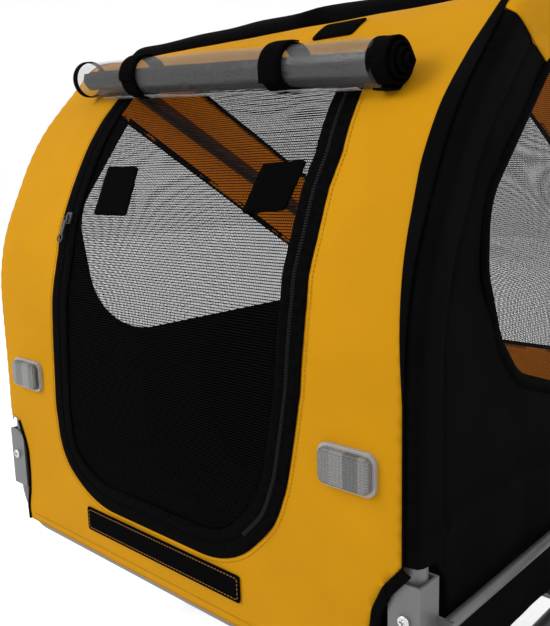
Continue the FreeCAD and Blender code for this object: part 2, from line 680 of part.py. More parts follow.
def pivot_screw():
    """Cross-head screw and nut of the front right hinge."""
    front = TUBE_INSET - TUBE_R - BRACKET_GAP - SHEET
    back = TUBE_INSET + TUBE_R + BRACKET_GAP + SHEET
    shank = rod(SCREW_R, V(ARCH_X, front, PIVOT_Z), V(ARCH_X, back + SCREW_HEAD, PIVOT_Z))
    head = rod(SCREW_HEAD_R, V(ARCH_X, front - SCREW_HEAD, PIVOT_Z), V(ARCH_X, front, PIVOT_Z))
    rim = [edge for edge in head.Edges if abs(edge.CenterOfMass.y - (front - SCREW_HEAD)) < NEAR]
    head = head.makeFillet(SCREW_HEAD / 2, rim)
    for half_x, half_z in ((SCREW_R, CROSS_SLOT_HALF), (CROSS_SLOT_HALF, SCREW_R)):
        head = head.cut(box(ARCH_X - half_x, ARCH_X + half_x, front - SCREW_HEAD, front - SCREW_HEAD / 2,
                            PIVOT_Z - half_z, PIVOT_Z + half_z))
    nut = rod(SCREW_HEAD_R, V(ARCH_X, back, PIVOT_Z), V(ARCH_X, back + SCREW_HEAD, PIVOT_Z))
    return shank.fuse([head, nut]).removeSplitter()


def make_frame():
    arch = arch_tube()
    keep("side_arch_right", arch)
    keep("side_arch_left", mirrored(arch))
    keep("base_front_hoop", hoop(TUBE_INSET))
    keep("base_rear_hoop", hoop(REAR_TUBE_Y))
    start, end = V(BASE_TUBE_X, TUBE_INSET, HOOP_Z), V(BASE_TUBE_X, REAR_TUBE_Y, HOOP_Z)
    base = rod(TUBE_R, start, end).cut(rod(TUBE_R - TUBE_WALL, start, end))
    for y in (TUBE_INSET, REAR_TUBE_Y):
        base = base.cut(rod(TUBE_R, V(0, y, HOOP_Z), V(MARGIN, y, HOOP_Z)))
    keep("base_side_tubes", base, mirrored(base))
    channel = bracket()
    keep("hinge_brackets", *[shape for half in (channel, reversed_ends(channel))
                             for shape in (half, mirrored(half))])
    screw = pivot_screw()
    keep("pivot_screws", *[shape for half in (screw, reversed_ends(screw))
                           for shape in (half, mirrored(half))])
    reach = TUBE_R + BRACKET_GAP + SHEET
    rail = rod(RAIL_R, V(RAIL_X, TUBE_INSET + reach, RAIL_Z), V(RAIL_X, REAR_TUBE_Y - reach, RAIL_Z))
    keep("guard_rails", rail, mirrored(rail))


def hoop(y):
    """One end of the base: a shallow U of tube across the trailer."""
    points = [V(-ARCH_X, y, HOOP_TOP), V(-ARCH_X, y, HOOP_Z), V(ARCH_X, y, HOOP_Z), V(ARCH_X, y, HOOP_TOP)]
    edges = rounded_edges(points, [0, HOOP_BEND_R, HOOP_BEND_R, 0], False)
    return pipe(edges, TUBE_R, TUBE_R - TUBE_WALL)


def on_roof_tube(shape):
    """Carry a shape to the spreader's place on the roof tubes, its Z square to the roof."""
    corners, _ = cabin_corners(TUBE_INSET)
    (y0, z0), (y1, z1) = corners[3], corners[4]
    fall = math.atan2(z1 - z0, y1 - y0)
    moved = shape.copy()
    moved.rotate(V(0, 0, 0), V(1, 0, 0), math.degrees(fall))
    moved.translate(V(0, y0 + SPREADER_SLOPE_AT * math.cos(fall), z0 + SPREADER_SLOPE_AT * math.sin(fall)))
    return moved


def make_spreader():
    end = ARCH_X + CLIP_WIDTH / 2
    keep("spreader_bar", on_roof_tube(rod(SPREADER_R, V(-end, 0, SPREADER_STAND), V(end, 0, SPREADER_STAND))))
    block = box(ARCH_X - CLIP_WIDTH / 2, end, -CLIP_HALF, CLIP_HALF, 0, SPREADER_STAND)
    block = block.cut(rod(SPREADER_R + SEW_GAP, V(0, 0, SPREADER_STAND), V(MARGIN, 0, SPREADER_STAND)))
    clip = on_roof_tube(block).cut(arch_core())
    keep("spreader_clip_right", clip)
    keep("spreader_clip_left", mirrored(clip))


def ring(outer_r, inner_r, x0, x1):
    outer = rod(outer_r, V(x0, WHEEL_Y, AXLE_Z), V(x1, WHEEL_Y, AXLE_Z))
    return outer.cut(rod(inner_r, V(x0, WHEEL_Y, AXLE_Z), V(x1, WHEEL_Y, AXLE_Z)))


def make_wheel(side, name):
    def place(label, *shapes):
        keep(label + name, *[shape if side > 0 else mirrored(shape) for shape in shapes])
    centre = V(WHEEL_X, WHEEL_Y, AXLE_Z)
    tyre = Part.makeTorus(TYRE_R - TYRE_SECTION_R, TYRE_SECTION_R, centre, V(1, 0, 0))
    aside = V(TYRE_R, 0, 0)
    place("tyre_", tyre.cut(rod(RIM_R + SEW_GAP / 2, centre - aside, centre + aside)))
    rim = ring(RIM_R, RIM_INNER_R, WHEEL_X - RIM_HALF, WHEEL_X + RIM_HALF)
    well_half = RIM_HALF - RIM_WELL
    well = ring(RIM_R + OVERSHOOT, RIM_R - RIM_WELL, WHEEL_X - well_half, WHEEL_X + well_half)
    place("rim_", rim.cut(well))
    hub = ring(HUB_R, STUB_R + STUB_CLEARANCE, WHEEL_X - HUB_HALF, WHEEL_X + HUB_HALF)
    flanges = [ring(FLANGE_R, HUB_R - OVERSHOOT, WHEEL_X + s * FLANGE_AT - FLANGE_T / 2,
                    WHEEL_X + s * FLANGE_AT + FLANGE_T / 2) for s in (-1, 1)]
    place("hub_", hub.fuse(flanges).removeSplitter())
    spokes = []
    for i in range(SPOKES):
        turn = 2 * math.pi * i / SPOKES
        out = V(0, math.cos(turn), math.sin(turn))
        flange_side = 1 if i % 2 == 0 else -1
        start = centre + V(flange_side * FLANGE_AT, 0, 0) + out * (FLANGE_R + SEW_GAP)
        end = centre + V(flange_side * SPOKE_R, 0, 0) + out * (RIM_INNER_R - SEW_GAP)
        spokes.append(rod(SPOKE_R, start, end))
    place("spokes_", *spokes)
    depth_x = STUB_OUT - BUTTON_DEPTH
    stub = rod(STUB_R, V(STUB_IN, WHEEL_Y, AXLE_Z), V(STUB_OUT, WHEEL_Y, AXLE_Z))
    cap = rod(STUB_CAP_R, V(STUB_OUT - STUB_CAP, WHEEL_Y, AXLE_Z), V(STUB_OUT, WHEEL_Y, AXLE_Z))
    socket = rod(BUTTON_R + PIVOT_CLEARANCE, V(depth_x, WHEEL_Y, AXLE_Z), V(STUB_OUT, WHEEL_Y, AXLE_Z))
    button = rod(BUTTON_R, V(depth_x + BUTTON_TRAVEL + SEW_GAP, WHEEL_Y, AXLE_Z),
                 V(STUB_OUT + BUTTON_PROUD, WHEEL_Y, AXLE_Z))
    rim_edge = [e for e in button.Edges if abs(e.CenterOfMass.x - (STUB_OUT + BUTTON_PROUD)) < NEAR]
    place("release_button_", button.makeFillet(BUTTON_EDGE_R, rim_edge))
    return stub.fuse(cap).cut(socket).removeSplitter()


def make_axle(stub):
    beam = ring(AXLE_R, AXLE_R - AXLE_WALL, -AXLE_HALF, AXLE_HALF)
    keep("axle_beam", beam)
    bore_r = STUB_R + STUB_CLEARANCE
    bush = ring(AXLE_R - AXLE_WALL - PIVOT_CLEARANCE, bore_r, AXLE_HALF - BUSH_IN, AXLE_HALF)
    lip = ring(AXLE_R, bore_r, AXLE_HALF, WHEEL_X - HUB_HALF - SEW_GAP)
    bush = bush.fuse(lip).removeSplitter()
    keep("axle_bushes", bush, mirrored(bush))
    keep("stub_axles", stub, mirrored(stub))
    block = box(BASE_TUBE_X - CLAMP_HALF, BASE_TUBE_X + CLAMP_HALF, WHEEL_Y - CLAMP_LENGTH / 2,
                WHEEL_Y + CLAMP_LENGTH / 2, AXLE_Z - AXLE_R - CLAMP_BELOW, HOOP_Z + CLAMP_ABOVE)
    block = block.cut(rod(AXLE_R, V(0, WHEEL_Y, AXLE_Z), V(MARGIN, WHEEL_Y, AXLE_Z)))
    block = block.cut(rod(TUBE_R, V(BASE_TUBE_X, 0, HOOP_Z), V(BASE_TUBE_X, CABIN_LENGTH, HOOP_Z)))
    block = max(block.Solids, key=lambda solid: solid.Volume)
    keep("axle_clamps", block, mirrored(block))


def make_drawbar():
    points = [V(BAR_X, BAR_Y, BAR_Z), V(BAR_X, BAR_BEND_Y, BAR_Z), V(HITCH_X, BAR_RISE_Y, HITCH_Z),
              V(HITCH_X, BAR_END_Y, HITCH_Z)]
    tube = pipe(rounded_edges(points, [0, BAR_BEND_R, BAR_BEND_R, 0], False), BAR_R, BAR_R - BAR_WALL)
    eye_half = BAR_R + SEW_GAP
    eye = rod(EYE_R, V(BAR_X, BAR_Y, BAR_Z - eye_half), V(BAR_X, BAR_Y, BAR_Z + eye_half))
    drill = rod(PIVOT_BOLT_R + PIVOT_CLEARANCE, V(BAR_X, BAR_Y, -MARGIN), V(BAR_X, BAR_Y, MARGIN))
    keep("drawbar_tube", tube.fuse(eye).cut(drill).removeSplitter())
    top = BAR_Z + eye_half + EYE_GAP
    low = BAR_Z - eye_half - EYE_GAP
    back = BAR_Y + BRACE_HALF
    upper = box(BRACE_IN_X, BAR_X + BRACE_HALF, BAR_Y - BRACE_HALF, back, top, HOOP_Z - TUBE_R - SEW_GAP)
    lower = box(BAR_X - BRACE_HALF, BAR_X + BRACE_HALF, BAR_Y - BRACE_HALF, back, low - BRACE_T, low)
    web = box(BAR_X - BRACE_HALF, BAR_X + BRACE_HALF, back - BRACE_T, back, low - BRACE_T, top)
    pivot = rod(PIVOT_BOLT_R, V(BAR_X, BAR_Y, low + SEW_GAP), V(BAR_X, BAR_Y, top + BRACE_T))
    keep("drawbar_bracket", upper.fuse([lower.cut(drill), web, pivot]).removeSplitter())
    knob_top = low - BRACE_T - SEW_GAP
    bolt = rod(PIVOT_BOLT_R, V(BAR_X, BAR_Y, knob_top - KNOB_H / 2), V(BAR_X, BAR_Y, low - SEW_GAP))
    base = V(BAR_X, BAR_Y, knob_top - KNOB_H)
    knob = rod(KNOB_R, base, base + V(0, 0, KNOB_H))
    lobes = []
    for i in range(KNOB_LOBES):
        turn = 2 * math.pi * i / KNOB_LOBES
        at = base + V(KNOB_LOBE_AT * math.cos(turn), KNOB_LOBE_AT * math.sin(turn), 0)
        lobes.append(rod(KNOB_LOBE_R, at, at + V(0, 0, KNOB_H)))
    keep("drawbar_knob", knob.fuse(lobes + [bolt]).removeSplitter())


def make_hitch():
    half_w, half_h = COUPLER_W / 2, COUPLER_H / 2
    front = BAR_END_Y - COUPLER_L
    coupler = rounded_plate(HITCH_X, HITCH_Z, half_w, half_h, COUPLER_CORNER_R, front, BAR_END_Y)
    slot = box(HITCH_X - COUPLER_W, HITCH_X + COUPLER_W, front - OVERSHOOT, front + SLOT_DEPTH,
               HITCH_Z - ARM_T / 2 - ARM_GAP, HITCH_Z + ARM_T / 2 + ARM_GAP)
    low, high = V(HITCH_X, HITCH_PIN_Y, -MARGIN), V(HITCH_X, HITCH_PIN_Y, MARGIN)
    bore = rod(HITCH_PIN_R + PIVOT_CLEARANCE, low, high)
    keep("hitch_coupler", coupler.cut(slot).cut(bore))
    bottom, top = HITCH_Z - ARM_T / 2, HITCH_Z + ARM_T / 2
    eye = rod(ARM_EYE_R, V(HITCH_X, HITCH_PIN_Y, bottom), V(HITCH_X, HITCH_PIN_Y, top))
    beam = box(HITCH_X - ARM_W / 2, HITCH_X + ARM_W / 2, PLATE_Y - PLATE_L / 2, HITCH_PIN_Y, bottom, top)
    plate_x = HITCH_X - ARM_W / 2
    plate = box(plate_x, plate_x + PLATE_T, PLATE_Y - PLATE_L / 2, PLATE_Y + PLATE_L / 2 - ARM_EYE_R,
                bottom, bottom + PLATE_H)
    axle_hole = rod(PLATE_BORE_R, V(-MARGIN, PLATE_Y, top + PLATE_BORE_ABOVE),
                    V(MARGIN, PLATE_Y, top + PLATE_BORE_ABOVE))
    keep("hitch_arm", eye.fuse([beam, plate]).cut(bore).cut(axle_hole).removeSplitter())
    pin = rod(HITCH_PIN_R, V(HITCH_X, HITCH_PIN_Y, HITCH_Z - HITCH_PIN_HALF),
              V(HITCH_X, HITCH_PIN_Y, HITCH_Z + HITCH_PIN_HALF))
    head_z = HITCH_Z + half_h + SEW_GAP
    head = rod(HITCH_PIN_HEAD_R, V(HITCH_X, HITCH_PIN_Y, head_z),
               V(HITCH_X, HITCH_PIN_Y, head_z + HITCH_PIN_HEAD + HITCH_PIN_HALF - half_h))
    keep("hitch_pin", pin.fuse(head).removeSplitter())


def make_all():
    shell = cabin_shell(0.0, FABRIC, PANEL_HALF)
    mesh_shell = cabin_shell(MESH_INSET, MESH_INSET + MESH, PANEL_HALF)
    make_front_panel(shell)
    make_roof_band()
    make_roof(shell, mesh_shell)
    make_door(mesh_shell)
    make_hook_strips()
    make_reflectors(REFLECTOR_X, REFLECTOR_Z, 0.0, -1, "front_reflector")
    make_reflectors(REAR_REFLECTOR_X, REAR_REFLECTOR_Z, CABIN_LENGTH, 1, "rear_reflector")
    pull_pivot = make_zip_pull()
    make_roll()
    make_side(1, "right")
    make_side(-1, "left")
    make_floor()
    make_frame()
    make_spreader()
    stub = make_wheel(1, "right")
    make_wheel(-1, "left")
    make_axle(stub)
    make_drawbar()
    make_hitch()
    return pull_pivot


PULL_PIVOT = make_all()
os.makedirs("parts", exist_ok=True)
for node, shape in sorted(pieces.items()):
    shape.exportStep("parts/" + node + ".step")
    state = "valid" if shape.isValid() else "INVALID"
    print(node, len(shape.Solids), "solids", round(shape.Volume), "mm3", state)
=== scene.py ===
import math
import bpy
import numpy as np
from mathutils import Matrix, Vector, noise
from mathutils.geometry import delaunay_2d_cdt


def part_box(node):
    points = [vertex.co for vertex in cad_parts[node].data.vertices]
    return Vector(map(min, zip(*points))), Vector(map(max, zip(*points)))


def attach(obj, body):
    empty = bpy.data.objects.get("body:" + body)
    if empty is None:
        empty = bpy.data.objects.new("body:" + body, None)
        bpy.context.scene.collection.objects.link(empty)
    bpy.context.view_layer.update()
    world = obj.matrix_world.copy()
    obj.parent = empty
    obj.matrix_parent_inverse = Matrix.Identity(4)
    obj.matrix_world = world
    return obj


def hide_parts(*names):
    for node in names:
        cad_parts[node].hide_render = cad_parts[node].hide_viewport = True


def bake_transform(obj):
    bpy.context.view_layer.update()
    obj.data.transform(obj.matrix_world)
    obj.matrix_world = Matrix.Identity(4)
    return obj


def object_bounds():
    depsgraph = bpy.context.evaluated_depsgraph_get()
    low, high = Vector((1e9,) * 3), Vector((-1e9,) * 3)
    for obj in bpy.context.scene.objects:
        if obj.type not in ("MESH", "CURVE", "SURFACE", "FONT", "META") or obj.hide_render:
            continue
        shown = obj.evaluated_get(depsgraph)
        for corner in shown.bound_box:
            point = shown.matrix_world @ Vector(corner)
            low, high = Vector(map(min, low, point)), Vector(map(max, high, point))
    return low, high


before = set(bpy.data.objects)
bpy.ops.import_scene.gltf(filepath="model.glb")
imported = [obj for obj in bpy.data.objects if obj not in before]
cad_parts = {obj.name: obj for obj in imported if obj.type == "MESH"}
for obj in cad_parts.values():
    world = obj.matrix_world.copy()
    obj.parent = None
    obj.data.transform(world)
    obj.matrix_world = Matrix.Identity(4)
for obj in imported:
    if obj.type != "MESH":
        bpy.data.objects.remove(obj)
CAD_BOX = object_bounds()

bl_info = {
    "name": "Dog bike trailer cloth and finishes",
    "version": (1, 0, 0),
    "blender": (4, 2, 0),
    "location": "3D View > Sidebar > Trailer",
    "description": "Dresses the trailer's frame in its cloth, nets, zip, rain cover and finishes",
    "category": "Object",
}

# The cabin's own frame, in millimetres: the middle of the front hem, X to the side, Y to the rear.
MM = 0.001
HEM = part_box("front_panel")[0]
ORIGIN = np.array((0.0, HEM[1], HEM[2]))
SIDE_CORNERS = ((0, 0, 0), (0, 345, 280), (65, 478, 280), (181, 598, 60), (806, 255, 104), (806, 0, 0))
ARCH_X = 297.0
CORNER_R = 12.5
CABIN_LENGTH = 806.0
SEAM_ROUND = 14.0
LEFT_SEAM = ARCH_X + SEAM_ROUND
SEAM_DEPTH = CORNER_R * (1 - math.cos(SEAM_ROUND / CORNER_R)) - 1.0
SLEEVE = 38.0

# Cut-outs round the frame's uprights: (x, z) on the front, (y, z) on the sides.
CUT_OUT_RIGHT = ((265, 0), (265, 58), (268, 82), (279, 106), (297, 128))
CUT_OUT_LEFT = ((273, 0), (274, 17), (268, 40), (265, 66), (265, 92), (269, 107), (281, 131))
SIDE_CUT_TOP = 129.0
SIDE_CUT_OUT = ((0, SIDE_CUT_TOP), (28, 126), (42, 108), (48, 70), (48, 4))
REAR_CUT_TOP = 127.0
REAR_CUT_X = 266.0
FLOOR_CUT_Y = 48.0
FLOOR_TONGUE = 250.0

# Windows as (y, z, radius), the band above them and the crease below.
WINDOW_RIGHT = ((226, 538, 20), (101, 408, 60), (100, 352, 60), (126, 290, 60), (164, 249, 70),
                (300, 205, 120), (640, 205, 28), (640, 271, 30))
WINDOW_LEFT = ((226, 520, 25), (124, 385, 80), (150, 205, 110), (640, 205, 28), (640, 271, 30))
BAND_LAP = 4.0
CREASE_Z = 150.0

# The door as (x, z, radius). Its sides stand off the upright by a lean that both share and a drift each.
DOOR_HALF = 183.0
DOOR = ((-DOOR_HALF, 64, 112), (DOOR_HALF, 64, 112), (DOOR_HALF, 300, 400), (171, 530, 30), (-168, 552, 30),
        (-DOOR_HALF, 300, 400))
LEAN_HEIGHTS = (64, 116, 176, 236, 330, 394, 450, 500, 560)
LEAN = (-5, -7, -3, 2, 11, 11, 9, 5, 3)
DRIFT_HEIGHTS = (60, 100, 120, 150, 210, 250, 350, 380, 420, 450, 520)
DRIFT_RIGHT = (-8, -9, -5, -5, 2, 6, 6, 10, 11, 17, 18)
DRIFT_LEFT = (-9, -10, -6, -1, -2, -3, -3, -9, -12, -12, -13)
ZIP_INSET = 13.0
SLIDER_Z = 388.0

# Width by height of the black edge on the front's right seam.
SEAM_TOP = 592.0
SEAM_BREADTH = ((260, 290, 328, 364, 399, 435, 484, 530, 565, 600), (0, 2, 5, 8, 10.5, 14, 14, 11.5, 6, 0))

# Padded band on the roof, the cloth that ends under it and the net behind it.
BAND_START_Y = 161.0
BAND_END_Y = 255.0
BAND_HALF = 262.0
FRONT_CLOTH_END_Y = BAND_START_Y + 62
ROOF_CLOTH_START_Y = BAND_START_Y + 61
NET_HALF = 220.0
NET_FRONT_Y = 267.0
NET_REAR_Z = 118.0

# Sewn trim. A stitch or tooth is its length, gap, width and height.
STITCH = (3.0, 1.4, 0.7, 0.4)
STRIP_STITCH = (3.0, 1.5, 0.9, 0.5)
ZIP_TOOTH = (1.5, 0.9, 4.2, 1.0)
STRIP = (-137, 28, 114, 56)
ROOF_TAB = ((94, 144), (144, 144), (151, 162), (101, 162))
DOOR_PATCHES = (((-120, 393), (-62, 393), (-68, 443), (-122, 445)),
                ((107, 398), (158, 402), (167, 444), (116, 442)))

# Rolled rain cover
ROLL_LEFT = (-232.0, 106.0, 551.0)
ROLL_RIGHT = (246.0, 75.5, 519.5)
ROLL_R = 20.5
STRAP_X = 114.0
STRAP_WIDTH = 27.0

# Each cloth's finishes, outside then inside, and its slot
CLOTHS = {
    "yellow": (("yellow_cloth", "yellow_cloth_inside_painted_glow"), "yellow_fabric"),
    "black": (("black_cloth",), "black_fabric"),
    "net": (("black_net",), "black_mesh"),
    "window": (("window_net",), "black_mesh"),
}

# Studio: lamps as name, place, size in metres and power
LAMPS = (("key", (-900, -1500, 1500), 1.3, 24.0), ("fill", (1500, -700, 1100), 1.6, 9.0))
LAMP_AIM = (0, 250, 280)
CAMERA_PLACE = (606.9, -472.1, 436.5)
CAMERA_RIGHT = (0.7362, 0.6762, -0.0270)
CAMERA_UP = (-0.1034, 0.1519, 0.9830)
CAMERA_LENS = 44.566

# Middle of the spreader rod
ROD_LOW, ROD_HIGH = ((np.array(corner) - ORIGIN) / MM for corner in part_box("spreader_bar"))
ROD_Y = (ROD_LOW[1] + ROD_HIGH[1]) / 2
ROD_Z = (ROD_LOW[2] + ROD_HIGH[2]) / 2


def row(points):
    """Cabin millimetres to the trailer's own metres."""
    return np.asarray(points, float) * MM + ORIGIN


def spot(x, y, z):
    return Vector(row((x, y, z)))


# Lines and outlines


def rounded(corners, closed, step=5.0):
    """Points along straight runs joined by arcs; each corner is (a, b, radius)."""
    corner_count = len(corners)
    points = []
    for i, (a, b, radius) in enumerate(corners):
        here = np.array((a, b), float)
        if radius <= 0 or (not closed and i in (0, corner_count - 1)):
            points.append(here)
            continue
        back = np.array(corners[i - 1][:2], float) - here
        on = np.array(corners[(i + 1) % corner_count][:2], float) - here
        back /= np.linalg.norm(back)
        on /= np.linalg.norm(on)
        half = math.acos(np.clip(back @ on, -1, 1)) / 2
        reach = radius / math.tan(half)
        middle = back + on
        middle = here + middle / np.linalg.norm(middle) * radius / math.sin(half)
        first, last = here + back * reach - middle, here + on * reach - middle
        start = math.atan2(first[1], first[0])
        turn = math.atan2(last[1], last[0]) - start
        turn = (turn + math.pi) % (2 * math.pi) - math.pi
        count = max(3, int(abs(turn) * radius / step))
        for k in range(count + 1):
            angle = start + turn * k / count
            points.append(middle + radius * np.array((math.cos(angle), math.sin(angle))))
    return even(np.array(points), step, closed)


def even(points, step, closed=False):
    """The same line with points about one step apart."""
    points = np.asarray(points, float)
    if closed:
        points = np.vstack((points, points[:1]))
    lengths = np.linalg.norm(np.diff(points, axis=0), axis=1)
    keep = np.concatenate(([True], lengths > 1e-6))
    points = points[keep]
    lengths = np.linalg.norm(np.diff(points, axis=0), axis=1)
    along = np.concatenate(([0.0], np.cumsum(lengths)))
    count = max(2, int(round(along[-1] / step)))
    stations = np.linspace(0, along[-1], count + 1)
    line = np.column_stack([np.interp(stations, along, points[:, k]) for k in range(points.shape[1])])
    return line[:-1] if closed else line


SIDE_LINE = rounded(SIDE_CORNERS, False, 2.0)
SIDE_S = np.concatenate(([0.0], np.cumsum(np.linalg.norm(np.diff(SIDE_LINE, axis=0), axis=1))))
PEAK = int(np.argmax(SIDE_LINE[:, 1]))
SIDE_RUN = np.gradient(SIDE_LINE, axis=0)
SIDE_RUN /= np.linalg.norm(SIDE_RUN, axis=1)[:, None]
REAR_S = SIDE_S[-1]


def s_front(z):
    """Distance up the front cloth at height z."""
    return np.interp(z, SIDE_LINE[:PEAK + 1, 1], SIDE_S[:PEAK + 1])


def s_roof(y):
    """Distance along the cloth at the roof's Y."""
    return np.interp(y, SIDE_LINE[:, 0], SIDE_S)


def s_rear(z):
    """Distance along the cloth at height z on the rear wall."""
    return np.interp(-z, -SIDE_LINE[PEAK:, 1], SIDE_S[PEAK:])


def over_cabin(x, s, lift=0.0):
    """Points on the front, roof and rear cloth, and their outward directions.

    Past the arch tubes the cloth rounds over towards the sides.
    """
    x = np.asarray(x, float)
    y = np.interp(s, SIDE_S, SIDE_LINE[:, 0])
    z = np.interp(s, SIDE_S, SIDE_LINE[:, 1])
    run_y = np.interp(s, SIDE_S, SIDE_RUN[:, 0])
    run_z = np.interp(s, SIDE_S, SIDE_RUN[:, 1])
    out = np.column_stack((np.zeros_like(y), -run_z, run_y))
    out /= np.linalg.norm(out, axis=1)[:, None]
    side = np.sign(x)
    turn = np.clip((np.abs(x) - ARCH_X) / CORNER_R, 0, math.pi / 2)
    flat_x = np.where(turn > 0, side * (ARCH_X + CORNER_R * np.sin(turn)), x)
    points = np.column_stack((flat_x, y, z)) - out * (CORNER_R * (1 - np.cos(turn)))[:, None]
    out = out * np.cos(turn)[:, None]
    out[:, 0] += side * np.sin(turn)
    return points + out * np.reshape(lift, (-1, 1)), out


def door_outline(inset, step=5.0):
    """The door's outline in (x, s), drawn in by an inset."""
    line = offset(rounded(DOOR, True, step), inset, True)
    x, z = line[:, 0], line[:, 1]
    right = np.interp(z, DRIFT_HEIGHTS, DRIFT_RIGHT)
    left = np.interp(z, DRIFT_HEIGHTS, DRIFT_LEFT)
    share = np.clip((x + DOOR_HALF) / (2 * DOOR_HALF), 0, 1)
    line[:, 0] = x + np.interp(z, LEAN_HEIGHTS, LEAN) + left * (1 - share) + right * share
    line[:, 1] = s_front(z)
    return line


def offset(line, distance, closed):
    """A line moved to its left by a distance."""
    if closed:
        run = np.roll(line, -1, axis=0) - np.roll(line, 1, axis=0)
    else:
        run = np.gradient(line, axis=0)
    run /= np.linalg.norm(run, axis=1)[:, None]
    return line + np.column_stack((-run[:, 1], run[:, 0])) * distance


def band_z(y):
    """Lower edge of the side's upper band."""
    return 527.0 - 0.6 * (np.asarray(y, float) - 200.0)


def window_run(corners):
    """The window's edge below the band, from front top to rear top."""
    line = rounded(corners, True, 4.0)
    below = line[:, 1] < band_z(line[:, 0]) - 0.5
    start = next(i for i in range(len(line)) if below[i] and not below[i - 1])
    run = [line[(start + k) % len(line)] for k in range(int(below.sum()))]
    if run[0][1] < run[-1][1]:
        run.reverse()
    return np.array(run)


def inset_depth(points):
    """How far points of the side lie inside its outer line."""
    far = []
    a, b = SIDE_LINE[:-1], SIDE_LINE[1:]
    ab = b - a
    square = (ab ** 2).sum(1)
    for start in range(0, len(points), 400):
        part = points[start:start + 400, None, :]
        t = np.clip(((part - a) * ab).sum(2) / square, 0, 1)
        far.append(np.sqrt(((part - a - ab * t[:, :, None]) ** 2).sum(2)).min(1))
    return np.concatenate(far)


def over_side(y, z, side, lift=0.0):
    """Points on a side wall, which rounds over the arch tube to meet the front and roof."""
    flat = np.column_stack((y, z))
    depth = np.clip(inset_depth(flat), 0, CORNER_R)
    turn = np.arccos(np.clip(1 - depth / CORNER_R, -1, 1))
    nearest = ((flat[:, None, :] - SIDE_LINE[None, ::3, :]) ** 2).sum(2).argmin(1) * 3
    run = SIDE_RUN[nearest]
    edge = np.column_stack((-run[:, 1], run[:, 0]))
    out = np.column_stack((np.sin(turn) * side, edge[:, 0] * np.cos(turn), edge[:, 1] * np.cos(turn)))
    x = (ARCH_X + CORNER_R * np.sin(turn)) * side
    return np.column_stack((x, y, z)) + out * np.reshape(lift, (-1, 1)), out


# Meshes


def inside(points, loops):
    """Which points lie within the loops, holes left out."""
    odd = np.zeros(len(points), bool)
    x, y = points[:, 0], points[:, 1]
    for loop in loops:
        ax, ay = loop[:, 0], loop[:, 1]
        bx, by = np.roll(ax, -1), np.roll(ay, -1)
        for k in range(len(loop)):
            if ay[k] == by[k]:
                continue
            spans = (ay[k] > y) != (by[k] > y)
            cross = (bx[k] - ax[k]) * (y - ay[k]) / (by[k] - ay[k]) + ax[k]
            odd ^= spans & (x < cross)
    return odd


def cut_cloth(loops, pitch, guides=()):
    """A flat cut as points and triangles, filled in rows one pitch apart."""
    loops = [np.asarray(loop, float) for loop in loops]
    edges, base = [], 0
    for loop in loops:
        edges += [(base + i, base + (i + 1) % len(loop)) for i in range(len(loop))]
        base += len(loop)
    rim = np.vstack(loops)
    low, high = rim.min(0), rim.max(0)
    rows = []
    for k, v in enumerate(np.arange(low[1] + pitch / 2, high[1], pitch * 0.87)):
        u = np.arange(low[0] + (k % 2) * pitch / 2, high[0], pitch)
        rows.append(np.column_stack((u, np.full_like(u, v))))
    fill = np.vstack(rows + [np.asarray(g, float) for g in guides])
    clear = [((fill[i:i + 500, None, :] - rim[None]) ** 2).sum(2).min(1) for i in range(0, len(fill), 500)]
    fill = fill[np.concatenate(clear) > (0.55 * min(pitch, 6.0)) ** 2]
    fill = fill[inside(fill, loops)]
    points = [Vector(p) for p in np.vstack((rim, fill))]
    found = delaunay_2d_cdt(points, edges, [], 0, 1e-4)
    flat = np.array([tuple(p) for p in found[0]])
    faces = np.array(found[2])
    faces = faces[inside(flat[faces].mean(1), loops)]
    return flat, faces


def fit(obj, slot, body, *nodes):
    """Hides the solids a piece stands for and attaches it to the body it moves with; the slot is not used."""
    if nodes:
        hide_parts(*nodes)
    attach(obj, body)


def deselect():
    for other in bpy.context.selected_objects:
        other.select_set(False)


def pick(obj):
    deselect()
    obj.select_set(True)
    bpy.context.view_layer.objects.active = obj


def make_piece(name, points, faces, uv, finishes, out, thickness=0.0):
    """A mesh piece in the trailer's frame, with its flat pattern as its UV map in metres."""
    faces = [tuple(int(i) for i in f) for f in faces]
    p = np.asarray(points)
    total = 0.0
    for f in faces[:: max(1, len(faces) // 60)]:
        normal = np.cross(p[f[1]] - p[f[0]], p[f[2]] - p[f[0]])
        total += float(normal @ out[f[0]])
    if total < 0:
        faces = [f[::-1] for f in faces]
    mesh = bpy.data.meshes.new(name)
    mesh.from_pydata([tuple(p) for p in row(points)], [], faces)
    layer = mesh.uv_layers.new(name="flat")
    corner = np.zeros(len(mesh.loops), int)
    mesh.loops.foreach_get("vertex_index", corner)
    layer.data.foreach_set("uv", (np.asarray(uv, float)[corner] * MM).ravel())
    for finish in finishes:
        mesh.materials.append(material(finish))
    mesh.polygons.foreach_set("use_smooth", [True] * len(mesh.polygons))
    obj = bpy.data.objects.new(name, mesh)
    bpy.context.scene.collection.objects.link(obj)
    if thickness:
        solid = obj.modifiers.new("thickness", "SOLIDIFY")
        solid.thickness = thickness * MM
        solid.offset = -1
        solid.material_offset = len(finishes) - 1
        pick(obj)
        bpy.ops.object.modifier_apply(modifier=solid.name)
    return obj


def make_sheet(name, kind, loops, pitch, form, nodes, guides=()):
    """A sheet of cloth cut flat and laid over the frame by form(u, v)."""
    finishes, slot = CLOTHS[kind]
    thickness = cloth().net_thickness if slot == "black_mesh" else cloth().thickness
    flat, faces = cut_cloth(loops, pitch, guides)
    points, out = form(flat[:, 0], flat[:, 1])
    obj = make_piece(name, points, faces, flat, finishes, out, thickness)
    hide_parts(*nodes)
    return obj


